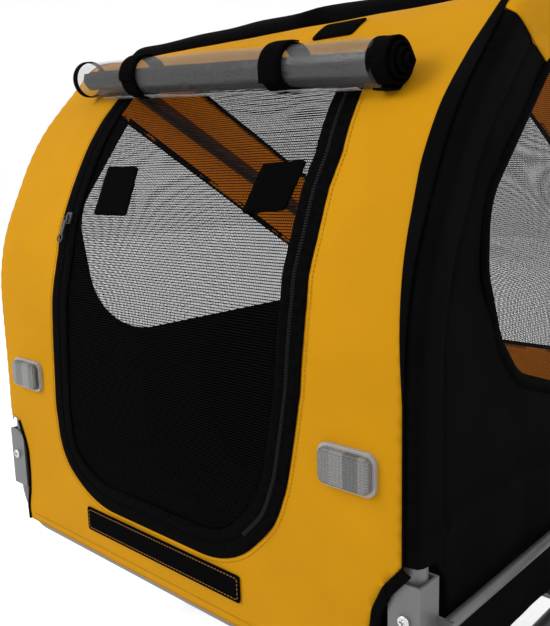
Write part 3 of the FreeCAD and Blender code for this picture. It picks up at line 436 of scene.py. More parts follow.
def make_grid(name, rows, finish, thickness, closed=False):
    """A piece from rows of points, each with its outward directions and flat pattern."""
    points, outs, uv = (np.vstack(part) for part in zip(*rows))
    wide = len(rows[0][0])
    faces = []
    for r in range(len(rows) - 1):
        for i in range(wide if closed else wide - 1):
            a, b = r * wide + i, r * wide + (i + 1) % wide
            faces.append((a, b, b + wide, a + wide))
    return make_piece(name, points, faces, uv, (finish,), outs, thickness)


def make_ribbon(name, line, near, far, form, closed, crown=0.6, columns=5, thickness=1.2, rise=0.3):
    """A webbing tape along a line of the flat pattern, between two offsets, slightly crowned."""
    line = np.asarray(line, float)
    count = len(line)
    step = np.linalg.norm(np.diff(np.vstack((line, line[:1])), axis=0), axis=1)
    along = np.concatenate(([0.0], np.cumsum(step)))[:count]
    rows = []
    for t in np.linspace(0, 1, columns):
        span = offset(line, near + (far - near) * t, closed)
        lift = rise + crown * (1 - (2 * t - 1) ** 2)
        p, out = form(span[:, 0], span[:, 1], np.full(count, lift))
        rows.append((p, out, np.column_stack((np.full(count, (far - near) * t), along))))
    tape = make_grid(name, rows, "black_webbing", thickness, closed)
    return tape


def make_studs(name, line, finish, size, rise, closed):
    """Short raised bars along a line of the flat pattern, as stitches or zip teeth are."""
    length, gap, width, height = size
    line = even(line, length + gap, closed)
    run = np.roll(line, -1, axis=0) - np.roll(line, 1, axis=0) if closed else np.gradient(line, axis=0)
    run /= np.linalg.norm(run, axis=1)[:, None]
    across = np.column_stack((-run[:, 1], run[:, 0]))
    count = len(line)
    rings, outs = [], []
    for lift, shrink in ((rise, 1.0), (rise + height, 0.55)):
        for a, b in ((-1, -1), (1, -1), (1, 1), (-1, 1)):
            corner = line + run * a * length / 2 * (0.4 + 0.6 * shrink) + across * b * width / 2 * shrink
            p, out = over_cabin(corner[:, 0], corner[:, 1], np.full(count, lift))
            rings.append(p)
            outs.append(out)
    faces = []
    for i in range(count):
        v = [k * count + i for k in range(8)]
        faces.append((v[4], v[5], v[6], v[7]))
        faces += [(v[k], v[(k + 1) % 4], v[4 + (k + 1) % 4], v[4 + k]) for k in range(4)]
    uv = np.tile(line, (8, 1))
    made = make_piece(name, np.vstack(rings), faces, uv, (finish,), np.vstack(outs))
    pick(made)
    bpy.ops.object.shade_flat()
    return made


def ruffle(u, v, seed, scale, amount):
    """Soft uneven waves in cloth."""
    return np.array([noise.noise(Vector((a * scale, b * scale, seed))) for a, b in zip(u, v)]) * amount


# Finishes


FINISHES = {}


class Finish:
    """One node material with a Principled shader."""

    def __init__(self, name, colour, rough, **sockets):
        FINISHES[name] = self
        self.material = bpy.data.materials.new(name)
        self.material.use_nodes = True
        self.tree = self.material.node_tree
        self.shader = self.tree.nodes["Principled BSDF"]
        self.shader.inputs["Base Color"].default_value = (*colour, 1)
        self.shader.inputs["Roughness"].default_value = rough
        for socket, value in sockets.items():
            self.shader.inputs[socket.replace("_", " ")].default_value = value

    def node(self, kind, **values):
        made = self.tree.nodes.new(kind)
        for key, value in values.items():
            if key in made.inputs:
                made.inputs[key].default_value = value
            else:
                setattr(made, key, value)
        return made

    def link(self, start, end):
        self.tree.links.new(start, end)
        return self

    def coordinates(self, space):
        return self.node("ShaderNodeTexCoord").outputs[space]

    def maths(self, operation, a, b=None):
        made = self.node("ShaderNodeMath", operation=operation)
        for k, value in enumerate((a, b)):
            if value is None:
                continue
            if isinstance(value, (int, float)):
                made.inputs[k].default_value = value
            else:
                self.link(value, made.inputs[k])
        return made.outputs[0]

    def clouds(self, space, scale, detail=2.0):
        made = self.node("ShaderNodeTexNoise", Scale=scale, Detail=detail)
        self.link(self.coordinates(space), made.inputs["Vector"])
        return made.outputs["Fac"]

    def tint(self, factor, dark, light):
        """Base colour running from a dark to a light tone with a factor."""
        ramp = self.node("ShaderNodeValToRGB")
        ramp.color_ramp.elements[0].position = 0.3
        ramp.color_ramp.elements[1].position = 0.7
        ramp.color_ramp.elements[0].color = (*dark, 1)
        ramp.color_ramp.elements[1].color = (*light, 1)
        self.link(factor, ramp.inputs["Fac"])
        self.link(ramp.outputs["Color"], self.shader.inputs["Base Color"])
        return self

    def roughen(self, factor, low, high):
        spread = self.node("ShaderNodeMapRange")
        spread.inputs["To Min"].default_value = low
        spread.inputs["To Max"].default_value = high
        self.link(factor, spread.inputs["Value"])
        self.link(spread.outputs["Result"], self.shader.inputs["Roughness"])
        return self

    def relief(self, height, depth, strength=0.5):
        bump = self.node("ShaderNodeBump", Strength=strength, Distance=depth)
        self.link(height, bump.inputs["Height"])
        if self.shader.inputs["Normal"].is_linked:
            self.link(self.shader.inputs["Normal"].links[0].from_socket, bump.inputs["Normal"])
        self.link(bump.outputs["Normal"], self.shader.inputs["Normal"])
        return self

    def weave(self, pitch, depth=0.0002, strength=0.35):
        """Crossed threads on the piece's flat pattern."""
        parts = self.node("ShaderNodeSeparateXYZ")
        self.link(self.coordinates("UV"), parts.inputs[0])
        turn = 2 * math.pi / pitch
        warp = self.maths("SINE", self.maths("MULTIPLY", parts.outputs[0], turn))
        weft = self.maths("SINE", self.maths("MULTIPLY", parts.outputs[1], turn))
        return self.relief(self.maths("MULTIPLY", warp, weft), depth, strength)

    def net(self, across, along, thread_across, thread_along):
        """See-through between threads on the piece's flat pattern."""
        parts = self.node("ShaderNodeSeparateXYZ")
        self.link(self.coordinates("UV"), parts.inputs[0])
        up = self.maths("FRACT", self.maths("MULTIPLY", parts.outputs[0], 1 / across))
        over = self.maths("FRACT", self.maths("MULTIPLY", parts.outputs[1], 1 / along))
        warp = self.maths("LESS_THAN", up, thread_across / across)
        weft = self.maths("LESS_THAN", over, thread_along / along)
        self.link(self.maths("MAXIMUM", warp, weft), self.shader.inputs["Alpha"])
        return self


def make_finishes(look):
    """Every cloth, metal, plastic and rubber finish of the trailer."""
    def scaled(colour, by):
        return tuple(min(1.0, c * by) for c in colour)

    yellow = tuple(look.yellow)
    black = tuple(look.black)
    steel = tuple(look.steel)
    cloth = Finish("yellow_cloth", yellow, 0.62, Specular_IOR_Level=0.05)
    cloth.tint(cloth.clouds("UV", 9.0, 4.0), scaled(yellow, 0.94), scaled(yellow, 1.05))
    cloth.weave(0.0011).relief(cloth.clouds("UV", 38.0, 3.0), 0.0012, 0.25)
    # The inside face glows faintly. The glow is painted light standing in for light shining through the yellow
    # cloth.
    lining = Finish("yellow_cloth_inside_painted_glow", (0.62, 0.20, 0.012), 0.7, Specular_IOR_Level=0.05,
                    Emission_Color=(0.72, 0.215, 0.012, 1), Emission_Strength=0.3)
    lining.tint(lining.clouds("UV", 12.0, 3.0), (0.58, 0.18, 0.01), (0.66, 0.22, 0.014))
    lining.weave(0.0011)
    dark = Finish("black_cloth", black, 0.75, Specular_IOR_Level=0.014)
    dark.tint(dark.clouds("UV", 14.0, 4.0), scaled(black, 0.8), scaled(black, 1.25))
    dark.weave(0.0011).relief(dark.clouds("UV", 30.0, 4.0), 0.002, 0.3)
    webbing = Finish("black_webbing", scaled(black, 0.8), 0.85, Specular_IOR_Level=0.014)
    webbing.tint(webbing.clouds("UV", 160.0, 2.0), scaled(black, 0.6), scaled(black, 1.3))
    webbing.weave(0.0024, 0.0004, 0.5)
    pile = Finish("hook_and_loop", scaled(black, 0.8), 0.95, Specular_IOR_Level=0.014)
    pile.tint(pile.clouds("UV", 900.0, 2.0), scaled(black, 0.4), scaled(black, 1.3))
    pile.relief(pile.clouds("UV", 1300.0, 2.0), 0.0008, 0.7)
    net = Finish("black_net", black, 0.7, Specular_IOR_Level=0.02)
    net.net(0.0021, 0.0027, 0.0005, 0.00085)
    window = Finish("window_net", black, 0.6, Specular_IOR_Level=0.03)
    window.net(0.0016, 0.0017, 0.00036, 0.00042)
    vinyl = Finish("clear_vinyl", (0.2, 0.2, 0.205), 0.12, Specular_IOR_Level=0.7, Alpha=0.11)
    vinyl.relief(vinyl.clouds("UV", 22.0, 2.0), 0.006, 0.7)
    # Light grey, half-opaque finish. It is a painted highlight for the bright streak of light along the roll's
    # lower edge.
    edge = Finish("clear_vinyl_painted_highlight", (0.62, 0.61, 0.61), 0.2, Specular_IOR_Level=0.7, Alpha=0.4)
    edge.relief(edge.clouds("UV", 60.0, 2.0), 0.003, 0.6)
    paint = Finish("grey_steel", steel, 0.42, Metallic=0.35)
    paint.tint(paint.clouds("Object", 55.0, 4.0), scaled(steel, 0.93), scaled(steel, 1.06))
    paint.relief(paint.clouds("Object", 900.0, 2.0), 0.0002, 0.25)
    zinc = Finish("zinc_steel", (0.55, 0.55, 0.54), 0.32, Metallic=1.0)
    zinc.roughen(zinc.clouds("Object", 300.0, 3.0), 0.22, 0.45)
    axle = Finish("axle_steel", (0.12, 0.12, 0.125), 0.38, Metallic=0.6)
    axle.roughen(axle.clouds("Object", 80.0, 4.0), 0.3, 0.5)
    alloy = Finish("alloy", (0.62, 0.62, 0.63), 0.28, Metallic=1.0)
    alloy.roughen(alloy.clouds("Object", 120.0, 4.0), 0.2, 0.4)
    plastic = Finish("black_plastic", (0.018, 0.018, 0.019), 0.45)
    plastic.relief(plastic.clouds("Object", 700.0, 3.0), 0.0003, 0.3)
    rubber = Finish("tyre_rubber", (0.016, 0.016, 0.016), 0.8)
    rubber.tint(rubber.clouds("Object", 40.0, 4.0), (0.012, 0.012, 0.012), (0.024, 0.023, 0.022))
    rubber.relief(rubber.clouds("Object", 300.0, 3.0), 0.001, 0.4)
    rim = Finish("clear_rim", (0.34, 0.33, 0.31), 0.12, Specular_IOR_Level=0.6, Coat_Weight=0.4)
    rim.relief(rim.clouds("Object", 500.0, 2.0), 0.0003, 0.3)
    for name, colour, rough, shine in (("zip_teeth", (0.009, 0.009, 0.0095), 0.5, 0.08),
                                       ("yellow_thread", scaled(yellow, 0.72), 0.7, 0.1),
                                       ("tan_thread", (0.26, 0.13, 0.04), 0.7, 0.1)):
        thread = Finish(name, colour, rough, Specular_IOR_Level=shine)
        thread.relief(thread.clouds("Object", 2400.0, 2.0), 0.0003, 0.4)
    for name, colour in (("clear_lens", (0.15, 0.147, 0.143)), ("red_lens", (0.4, 0.01, 0.008))):
        lens = Finish(name, colour, 0.16, Specular_IOR_Level=0.4, Coat_Weight=0.3)
        parts = lens.node("ShaderNodeSeparateXYZ")
        lens.link(lens.coordinates("Object"), parts.inputs[0])
        ribs = lens.maths("SINE", lens.maths("MULTIPLY", parts.outputs[2], 2 * math.pi / 0.0024))
        cells = lens.maths("SINE", lens.maths("MULTIPLY", parts.outputs[0], 2 * math.pi / 0.0036))
        bands = lens.maths("FRACT", lens.maths("MULTIPLY", lens.maths("FLOOR", lens.maths(
            "MULTIPLY", parts.outputs[0], 1 / 0.0145)), 0.37))
        lens.tint(bands, scaled(colour, 0.55), scaled(colour, 1.3))
        lens.relief(lens.maths("ADD", ribs, cells), 0.0006, 0.7)


def material(name):
    return FINISHES[name].material


# Sizes and colours that a user may change


class TrailerLook(bpy.types.PropertyGroup):
    yellow: bpy.props.FloatVectorProperty(
        name="Yellow", description="Colour of the yellow coated cloth", subtype="COLOR", size=3,
        default=(0.62, 0.285, 0.0045), min=0, max=1)
    black: bpy.props.FloatVectorProperty(
        name="Black", description="Colour of the black cloth, tape and net", subtype="COLOR", size=3,
        default=(0.0026, 0.0023, 0.0027), min=0, max=1)
    steel: bpy.props.FloatVectorProperty(
        name="Steel", description="Colour of the painted tubes and brackets", subtype="COLOR", size=3,
        default=(0.145, 0.142, 0.146), min=0, max=1)


class TrailerCloth(bpy.types.PropertyGroup):
    thickness: bpy.props.FloatProperty(
        name="Cloth", description="Thickness of the coated cloth in millimetres", default=1.2, min=0.4, max=3)
    net_thickness: bpy.props.FloatProperty(
        name="Net", description="Thickness of the net in millimetres", default=0.12, min=0.05, max=2)
    pitch: bpy.props.FloatProperty(
        name="Rows", description="Spacing of the cloth's mesh rows in millimetres", default=9.0, min=3,
        max=30)


def look():
    return bpy.context.scene.trailer_look


def cloth():
    return bpy.context.scene.trailer_cloth


# The stage


def larger_of(tree, *sockets):
    """The largest of some light-path values."""
    value = sockets[0]
    for other in sockets[1:]:
        pair = tree.nodes.new("ShaderNodeMath")
        pair.operation = "MAXIMUM"
        tree.links.new(value, pair.inputs[0])
        tree.links.new(other, pair.inputs[1])
        value = pair.outputs[0]
    return value


def lay_studio_floor():
    """A pale floor that stays white where the camera sees it."""
    deselect()
    bpy.ops.mesh.primitive_plane_add(size=14, location=(0, 0, CAD_BOX[0][2] - 0.0005))
    floor = bpy.context.object
    floor.name = "studio_floor"
    tone = bpy.data.materials.new("studio_floor")
    tone.use_nodes = True
    tree = tone.node_tree
    pale = tree.nodes["Principled BSDF"]
    pale.inputs["Base Color"].default_value = (0.86, 0.86, 0.86, 1)
    pale.inputs["Roughness"].default_value = 0.9
    pale.inputs["Emission Color"].default_value = (1, 1, 1, 1)
    ray = tree.nodes.new("ShaderNodeLightPath").outputs
    glow = tree.nodes.new("ShaderNodeMapRange")
    glow.inputs["To Max"].default_value = 0.62
    tree.links.new(larger_of(tree, ray["Is Camera Ray"], ray["Is Glossy Ray"]), glow.inputs["Value"])
    tree.links.new(glow.outputs["Result"], pale.inputs["Emission Strength"])
    floor.data.materials.append(tone)


def light_studio(scene):
    """White surroundings, a key and a fill lamp."""
    world = bpy.data.worlds.new("studio")
    scene.world = world
    world.use_nodes = True
    tree = world.node_tree
    ray = tree.nodes.new("ShaderNodeLightPath").outputs
    seen = larger_of(tree, ray["Is Camera Ray"], ray["Is Transmission Ray"], ray["Is Glossy Ray"])
    level = tree.nodes.new("ShaderNodeMapRange")
    level.inputs["To Min"].default_value = 0.55
    level.inputs["To Max"].default_value = 1.0
    tree.links.new(seen, level.inputs["Value"])
    background = tree.nodes["Background"]
    background.inputs["Color"].default_value = (1, 1, 1, 1)
    tree.links.new(level.outputs["Result"], background.inputs["Strength"])
    for name, place, size, power in LAMPS:
        lamp = bpy.data.lights.new(name, "AREA")
        lamp.size = size
        lamp.energy = power
        holder = bpy.data.objects.new(name, lamp)
        holder.location = spot(*place)
        aim = spot(*LAMP_AIM) - holder.location
        holder.rotation_euler = aim.to_track_quat("-Z", "Y").to_euler()
        scene.collection.objects.link(holder)


def set_camera(scene):
    lens = bpy.data.cameras.new("camera")
    lens.lens = CAMERA_LENS
    lens.sensor_width = 36.0
    lens.clip_start = 0.01
    eye = bpy.data.objects.new("camera", lens)
    right, up = Vector(CAMERA_RIGHT), Vector(CAMERA_UP)
    back = right.cross(up).normalized()
    up = back.cross(right).normalized()
    right.normalize()
    place = spot(*CAMERA_PLACE)
    eye.matrix_world = Matrix((
        (right.x, up.x, back.x, place.x), (right.y, up.y, back.y, place.y),
        (right.z, up.z, back.z, place.z), (0, 0, 0, 1)))
    scene.collection.objects.link(eye)
    scene.camera = eye


class TRAILER_OT_stage(bpy.types.Operator):
    """Pale floor, soft studio light and the camera"""
    bl_idname = "trailer.stage"
    bl_label = "Stage"

    def execute(self, context):
        context.scene.view_settings.view_transform = "Standard"
        lay_studio_floor()
        light_studio(context.scene)
        set_camera(context.scene)
        return {"FINISHED"}


class TRAILER_OT_frame_finish(bpy.types.Operator):
    """Finishes on the frame, wheels and fittings that keep their solid shape"""
    bl_idname = "trailer.frame_finish"
    bl_label = "Frame finishes"

    def execute(self, context):
        make_finishes(look())
        worn = {
            "grey_steel": ("hinge_brackets", "side_arch_left", "side_arch_right", "base_front_hoop",
                           "base_rear_hoop", "base_side_tubes", "guard_rails", "drawbar_tube",
                           "drawbar_bracket", "spreader_bar", "axle_clamps"),
            "zinc_steel": ("pivot_screws", "hitch_pin", "hitch_arm", "stub_axles"),
            "axle_steel": ("axle_beam",),
            "alloy": ("rim_left", "rim_right", "spokes_left", "spokes_right", "hub_left", "hub_right"),
            "black_plastic": ("axle_bushes", "drawbar_knob", "hitch_coupler", "release_button_left",
                              "release_button_right", "spreader_clip_left", "spreader_clip_right",
                              "rear_reflector_bases"),
            "clear_rim": ("front_reflector_bases",),
            "tyre_rubber": ("tyre_left", "tyre_right"),
            "clear_lens": ("front_reflector_lenses",),
            "red_lens": ("rear_reflector_lenses",),
        }
        for finish, names in worn.items():
            for name in names:
                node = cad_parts[name]
                node.data.materials.clear()
                node.data.materials.append(material(finish))
        return {"FINISHED"}


# Front and door


def sew_right_seam():
    """Black edge of the right side's cloth, where it comes round onto the front."""
    heights = np.linspace(SIDE_CUT_TOP, SEAM_TOP, 90)
    broad = np.interp(heights, *SEAM_BREADTH)
    s = s_front(heights)
    rows = []
    for t in np.linspace(0, 1, 7):
        x = ARCH_X - broad + (broad + 1.5) * t
        p, out = over_cabin(x, s, np.full(len(x), 1.5))
        rows.append((p, out, np.column_stack((x, s))))
    seam = make_grid("front_seam_right", rows, "black_cloth", cloth().thickness)
    fit(seam, "black_fabric", "chassis")


class TRAILER_OT_front_cloth(bpy.types.Operator):
    """Yellow front panel with the door's opening"""
    bl_idname = "trailer.front_cloth"
    bl_label = "Front cloth"

    def execute(self, context):
        top = float(s_roof(FRONT_CLOTH_END_Y))
        right = [(x, float(s_front(z))) for x, z in CUT_OUT_RIGHT]
        left = [(-x, float(s_front(z))) for x, z in CUT_OUT_LEFT[::-1]]
        edge = right + [(ARCH_X, top), (-LEFT_SEAM, top), (-LEFT_SEAM, left[0][1] + 4)] + left

        def form(x, s):
            lift = ruffle(x, s, 3.1, 0.011, 1.1) + ruffle(x, s, 7.7, 0.03, 0.4)
            return over_cabin(x, s, lift - 0.4)
        panel = make_sheet("front_cloth", "yellow", [even(edge, 7.0, True), door_outline(0.0)], cloth().pitch,
                           form, ["front_panel"])
        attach(panel, "chassis")
        sew_right_seam()
        return {"FINISHED"}


class TRAILER_OT_door(bpy.types.Operator):
    """Net door with its bound edge and zip"""
    bl_idname = "trailer.door"
    bl_label = "Door"

    def execute(self, context):
        def slack(x, s):
            return over_cabin(x, s, -1.5 + ruffle(x, s, 1.3, 0.02, 1.0))
        net = make_sheet("door_net", "net", [door_outline(22.0)], 12.0, slack, ["front_door", "door_header"])
        line = door_outline(0.0, 4.0)
        binding = make_ribbon("door_tape", line, 13.0, 27.0, over_cabin, True, 0.7, 6, 1.4, 0.2)
        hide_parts("door_binding")
        tape = make_ribbon("zip_tape", line, -2.0, 13.5, over_cabin, True, 0.5, 6, 1.4, 0.5)
        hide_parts("door_zip")
        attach(tape, "chassis")
        path = offset(line, ZIP_INSET, True)
        path = np.roll(path, -int(np.argmax(path[:, 1])), axis=0)
        path = path[(path[:, 1] < s_front(505)) & (path[:, 0] > 120)]
        teeth = make_studs("zip_teeth", path, "zip_teeth", ZIP_TOOTH, 1.2, False)
        fit(teeth, "black_plastic", "chassis")
        seam = make_studs("door_stitches", offset(line, -6.0, True), "yellow_thread", STITCH, 0.1, True)
        fit(seam, "yellow_fabric", "chassis")
        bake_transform(net)
        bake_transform(binding)
        return {"FINISHED"}


def block(name, size, at, bevel):
    """A small bar with rounded edges, in millimetres."""
    deselect()
    bpy.ops.mesh.primitive_cube_add(size=1, location=(0, 0, 0))
    made = bpy.context.object
    made.name = name
    made.scale = [c * MM for c in size]
    made.location = [c * MM for c in at]
    bpy.ops.object.transform_apply(location=True, rotation=False, scale=True)
    bpy.ops.object.mode_set(mode="EDIT")
    bpy.ops.mesh.select_all(action="SELECT")
    bpy.ops.mesh.bevel(offset=bevel * MM, segments=3, affect="EDGES")
    bpy.ops.object.mode_set(mode="OBJECT")
    return made


def ring(major, minor, at):
    """A small wire ring, in millimetres."""
    deselect()
    bpy.ops.mesh.primitive_torus_add(
        major_radius=major * MM, minor_radius=minor * MM, major_segments=28, minor_segments=10,
        rotation=(math.pi / 2, 0, 0), location=[c * MM for c in at])
    bpy.ops.object.transform_apply(location=True, rotation=True, scale=True)
    return bpy.context.object


class TRAILER_OT_zip_pull(bpy.types.Operator):
    """Zip slider and its pull"""
    bl_idname = "trailer.zip_pull"
    bl_label = "Zip pull"

    def execute(self, context):
        line = offset(door_outline(0.0, 4.0), ZIP_INSET, True)
        height = float(s_front(SLIDER_Z))
        near = line[line[:, 0] < 0]
        x = float(near[np.argmin(np.abs(near[:, 1] - height)), 0])
        place, out = over_cabin([x], [height], [2.2])
        out = Vector(out[0])
        side = Vector((-1, 0, 0))
        turn = Matrix.Identity(4)
        turn.col[0][:3], turn.col[1][:3], turn.col[2][:3] = side, out, side.cross(out)
        turn.translation = Vector(row(place[0]))

        def join(name, parts, node, body):
            deselect()
            for made in parts:
                made.select_set(True)
            context.view_layer.objects.active = parts[0]
            bpy.ops.object.join()
            whole = context.object
            whole.name = name
            whole.data.transform(turn)
            whole.data.materials.clear()
            whole.data.materials.append(material("black_plastic"))
            bpy.ops.object.shade_smooth_by_angle(angle=math.radians(40))
            fit(whole, "zinc_steel", body, node)
        slider = block("slider", (9.0, 3.4, 14.0), (0, 0, 0), 1.3)
        bridge = block("slider_bridge", (3.0, 2.6, 9.0), (0, 2.6, -0.5), 0.9)
        join("zip_slider_body", [slider, bridge], "zip_slider", "chassis")
        tab = block("tab", (5.4, 1.6, 18.0), (0, 4.6, -13.0), 0.7)
        join("zip_pull_tab", [tab, ring(4.4, 0.95, (0, 4.6, -25.0)), ring(3.2, 0.8, (0, 4.2, -2.6))],
             "zip_pull", "zip_pull")
        return {"FINISHED"}


# Roof, sides and floor


def pad_roof_band():
    """Black padded band across the ridge, over the spreader rod."""
    last = float(s_roof(BAND_END_Y))
    x = np.linspace(-BAND_HALF, BAND_HALF, 85)
    step = 1 / (1 + np.exp(-(x - 50) / 4.0))
    start_y = BAND_START_Y + 20 + 8 * np.clip(-x / 204, 0, 1) + 18 * step + np.clip((x - 60) / 20, 0, 7)
    first = s_roof(start_y)
    rows = []
    for t in np.linspace(0, 1, 23):
        s = first + (last - first) * t
        swell = max(0.0, math.sin(math.pi * t)) ** 0.5 * np.clip((BAND_HALF - np.abs(x)) / 14, 0, 1) ** 0.5
        rod = math.exp(-((t - 0.52) / 0.24) ** 2)
        lift = 0.6 + swell * (25.0 - 4.0 * rod + 15.0 * step * (1 - 0.4 * rod))
        lift += ruffle(x, s, 5.0, 0.02, 1.6) * swell
        p, out = over_cabin(x, s, lift)
        rows.append((p, out, np.column_stack((x, s))))
    band = make_grid("roof_band_cloth", rows, "black_cloth", cloth().thickness)
    fit(band, "black_fabric", "chassis", "roof_band")


def roof_opening(lap):
    """The net's opening in the roof and rear cloth, made larger by a lap."""
    half, front, rear = NET_HALF + lap, float(s_roof(NET_FRONT_Y - lap)), float(s_rear(NET_REAR_Z - lap))
    return rounded(((-half, front, 14), (half, front, 14), (half, rear, 30), (-half, rear, 30)), True, 6.0)


class TRAILER_OT_roof(bpy.types.Operator):
    """Black padded band, yellow roof and rear cloth, and their net"""
    bl_idname = "trailer.roof"
    bl_label = "Roof"

    def execute(self, context):
        pad_roof_band()
        begin = float(s_roof(ROOF_CLOTH_START_Y))
        rod_s = float(s_roof(ROD_Y - 8))
        cut_s = float(s_rear(REAR_CUT_TOP))
        edge = [(-ARCH_X, begin), (ARCH_X, begin), (ARCH_X, cut_s), (REAR_CUT_X, cut_s), (REAR_CUT_X, REAR_S),
                (-REAR_CUT_X, REAR_S), (-REAR_CUT_X, cut_s), (-ARCH_X, cut_s)]
        hole = roof_opening(0)

        def over_rod(x, s):
            hump = 9.5 * np.exp(-((s - rod_s) / 22) ** 2)
            return over_cabin(x, s, ruffle(x, s, 9.0, 0.012, 1.4) - 0.5 + hump)

        def slack(x, s):
            return over_cabin(x, s, -2.2 + ruffle(x, s, 2.0, 0.01, 1.0))
        roof = make_sheet("roof_cloth", "yellow", [even(edge, 8.0, True), hole], 11.0, over_rod,
                          ["roof_cover", "rear_panel"])
        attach(roof, "chassis")
        net = make_sheet("roof_net", "net", [roof_opening(4)], 13.0, slack, ["roof_mesh", "rear_mesh"])
        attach(net, "chassis")
        trim = make_ribbon("roof_net_tape", hole, -5.0, 7.0, over_cabin, True)
        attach(trim, "chassis")
        return {"FINISHED"}


def side_guides():
    """Rows of points where the side cloth rounds over the tube and where its sleeve is sewn."""
    rings = []
    for angle in (20, 40, 60, 78, 90):
        depth = CORNER_R * (1 - math.cos(math.radians(angle))) + (3 if angle == 90 else 0)
        rings.append(offset(SIDE_LINE[::2], -depth, False))
    for beside in (-5, -2.5, 0, 2.5, 5):
        rings.append(offset(SIDE_LINE[::3], -(SLEEVE + beside), False))
    return rings


class TRAILER_OT_sides(bpy.types.Operator):
    """Black side walls with their windows, yellow bands and tapes"""
    bl_idname = "trailer.sides"
    bl_label = "Sides"

    def execute(self, context):
        under = SIDE_LINE[:, 1] < band_z(SIDE_LINE[:, 0])
        front = SIDE_LINE[:PEAK][under[:PEAK]]
        rear = SIDE_LINE[PEAK:][under[PEAK:]]
        front = front[front[:, 1] > SIDE_CUT_TOP]
        rear = rear[rear[:, 1] > SIDE_CUT_TOP]
        back_cut_out = [(CABIN_LENGTH - y, z) for y, z in SIDE_CUT_OUT]
        guides = side_guides()
        top = SIDE_LINE[int(np.argmax(~under)):]
        top = top[top[:, 1] > band_z(top[:, 0])]
        ends = np.vstack((rear[:1], front[-1:]))
        along = (ends[1] - ends[0]) / np.linalg.norm(ends[1] - ends[0])
        lap = BAND_LAP * np.array((along[1], -along[0])) * np.sign(along[0])
        band_loop = np.vstack((top, even(ends, 6.0)[1:-1] + lap))
        for side, word in ((-1, "left"), (1, "right")):
            self.dress(side, word, front, rear, back_cut_out, band_loop, guides)
        return {"FINISHED"}

    def dress(self, side, word, front, rear, back_cut_out, band_loop, guides):
        """One side's cloth, upper band, window net and tapes."""
        arch = word + "_arch"
        run = window_run(WINDOW_LEFT if side < 0 else WINDOW_RIGHT)
        fore = front if side > 0 else offset(front, -SEAM_DEPTH, False)
        behind = run[-1][0] + 14
        bridge = np.array([(behind, float(band_z(behind)) + 5)])
        loop = np.vstack((fore, run, bridge, rear, back_cut_out, SIDE_CUT_OUT[::-1]))
        sill = even(np.vstack((run[-1:], run[:1])), 6.0)

        def wall(y, z, lift=0.0):
            return over_side(y, z, side, lift)

        def puckered(y, z, extra=0.0):
            depth = inset_depth(np.column_stack((y, z)))
            soft = np.clip((depth - 14) / 30, 0, 1)
            lift = (ruffle(y, z, 4.0 + side, 0.018, 2.2) + ruffle(y, z, 8.0, 0.05, 0.9)) * soft
            lift += 8.0 * np.exp(-((y - ROD_Y) ** 2 + (z - ROD_Z) ** 2) / 24 ** 2)
            lift -= 1.5 * np.exp(-((depth - SLEEVE) / 2.4) ** 2)
            lift += 4.5 * np.exp(-((z - CREASE_Z - 4 * np.sin(y / 60)) / 8) ** 2) * soft
            return over_side(y, z, side, lift + extra)

        def raised(y, z):
            return puckered(y, z, 1.4)

        def slack(y, z):
            return over_side(y, z, side, -1.6 + ruffle(y, z, 6.0, 0.014, 1.2))
        shown = ["side_panel_" + word] + (["side_skirts"] if side > 0 else [])
        panel = make_sheet("side_cloth_" + word, "black", [even(loop, 6.0, True)], cloth().pitch, puckered,
                           shown, guides=guides)
        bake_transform(panel)
        band = make_sheet("side_band_cloth_" + word, "yellow", [even(band_loop, 6.0, True)], cloth().pitch,
                          raised, ["side_band_" + word], guides=guides)
        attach(band, arch)
        net = make_sheet("window_net_" + word, "window", [np.vstack((run, sill[1:-1]))], 12.0, slack,
                         ["side_window_" + word])
        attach(net, arch)
        tape = make_ribbon("window_tape_" + word, run, -9.0, 4.0, wall, False, 3.2, 9)
        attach(tape, arch)
        hem = make_ribbon("band_tape_" + word, sill, -5.0, 5.0, wall, False, 1.0)
        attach(hem, arch)


class TRAILER_OT_floor(bpy.types.Operator):
    """Black floor cloth"""
    bl_idname = "trailer.floor_cloth"
    bl_label = "Floor"

    def execute(self, context):
        low, high = ((np.array(corner) - ORIGIN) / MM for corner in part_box("floor_panel"))
        half, near, far = high[0], FLOOR_CUT_Y, CABIN_LENGTH - FLOOR_CUT_Y
        right = [(FLOOR_TONGUE, low[1]), (FLOOR_TONGUE, near), (half, near), (half, far), (FLOOR_TONGUE, far),
                 (FLOOR_TONGUE, high[1])]
        loop = [(-FLOOR_TONGUE, low[1])] + right + [(-x, y) for x, y in right[:0:-1]]

        def form(x, y):
            z = high[2] - 0.3 + ruffle(x, y, 2.2, 0.008, 1.6)
            return np.column_stack((x, y, z)), np.tile((0.0, 0.0, 1.0), (len(x), 1))
        floor = make_sheet("floor_cloth", "black", [even(loop, 9.0, True)], 16.0, form, ["floor_panel"])
        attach(floor, "chassis")
        return {"FINISHED"}


# Sewn trim and rain cover


def sew_patch(name, corners, lift, body, *nodes):
    """A flat piece of hook-and-loop tape on the front or roof."""
    flat, faces = cut_cloth([rounded(corners, True, 3.0)], 5.0)
    points, out = over_cabin(flat[:, 0], flat[:, 1], np.full(len(flat), lift))
    obj = make_piece(name, points, faces, flat, ("hook_and_loop",), out, 1.4)
    fit(obj, "black_webbing", body, *nodes)


def strip_corners(inset):
    """Corners of the strip under the door, drawn in by an inset."""
    left, low, right, high = STRIP
    return ((left + inset, low + inset, 2), (right - inset, low + inset, 2),
            (right - inset, high - inset, 2), (left + inset, high - inset, 2))


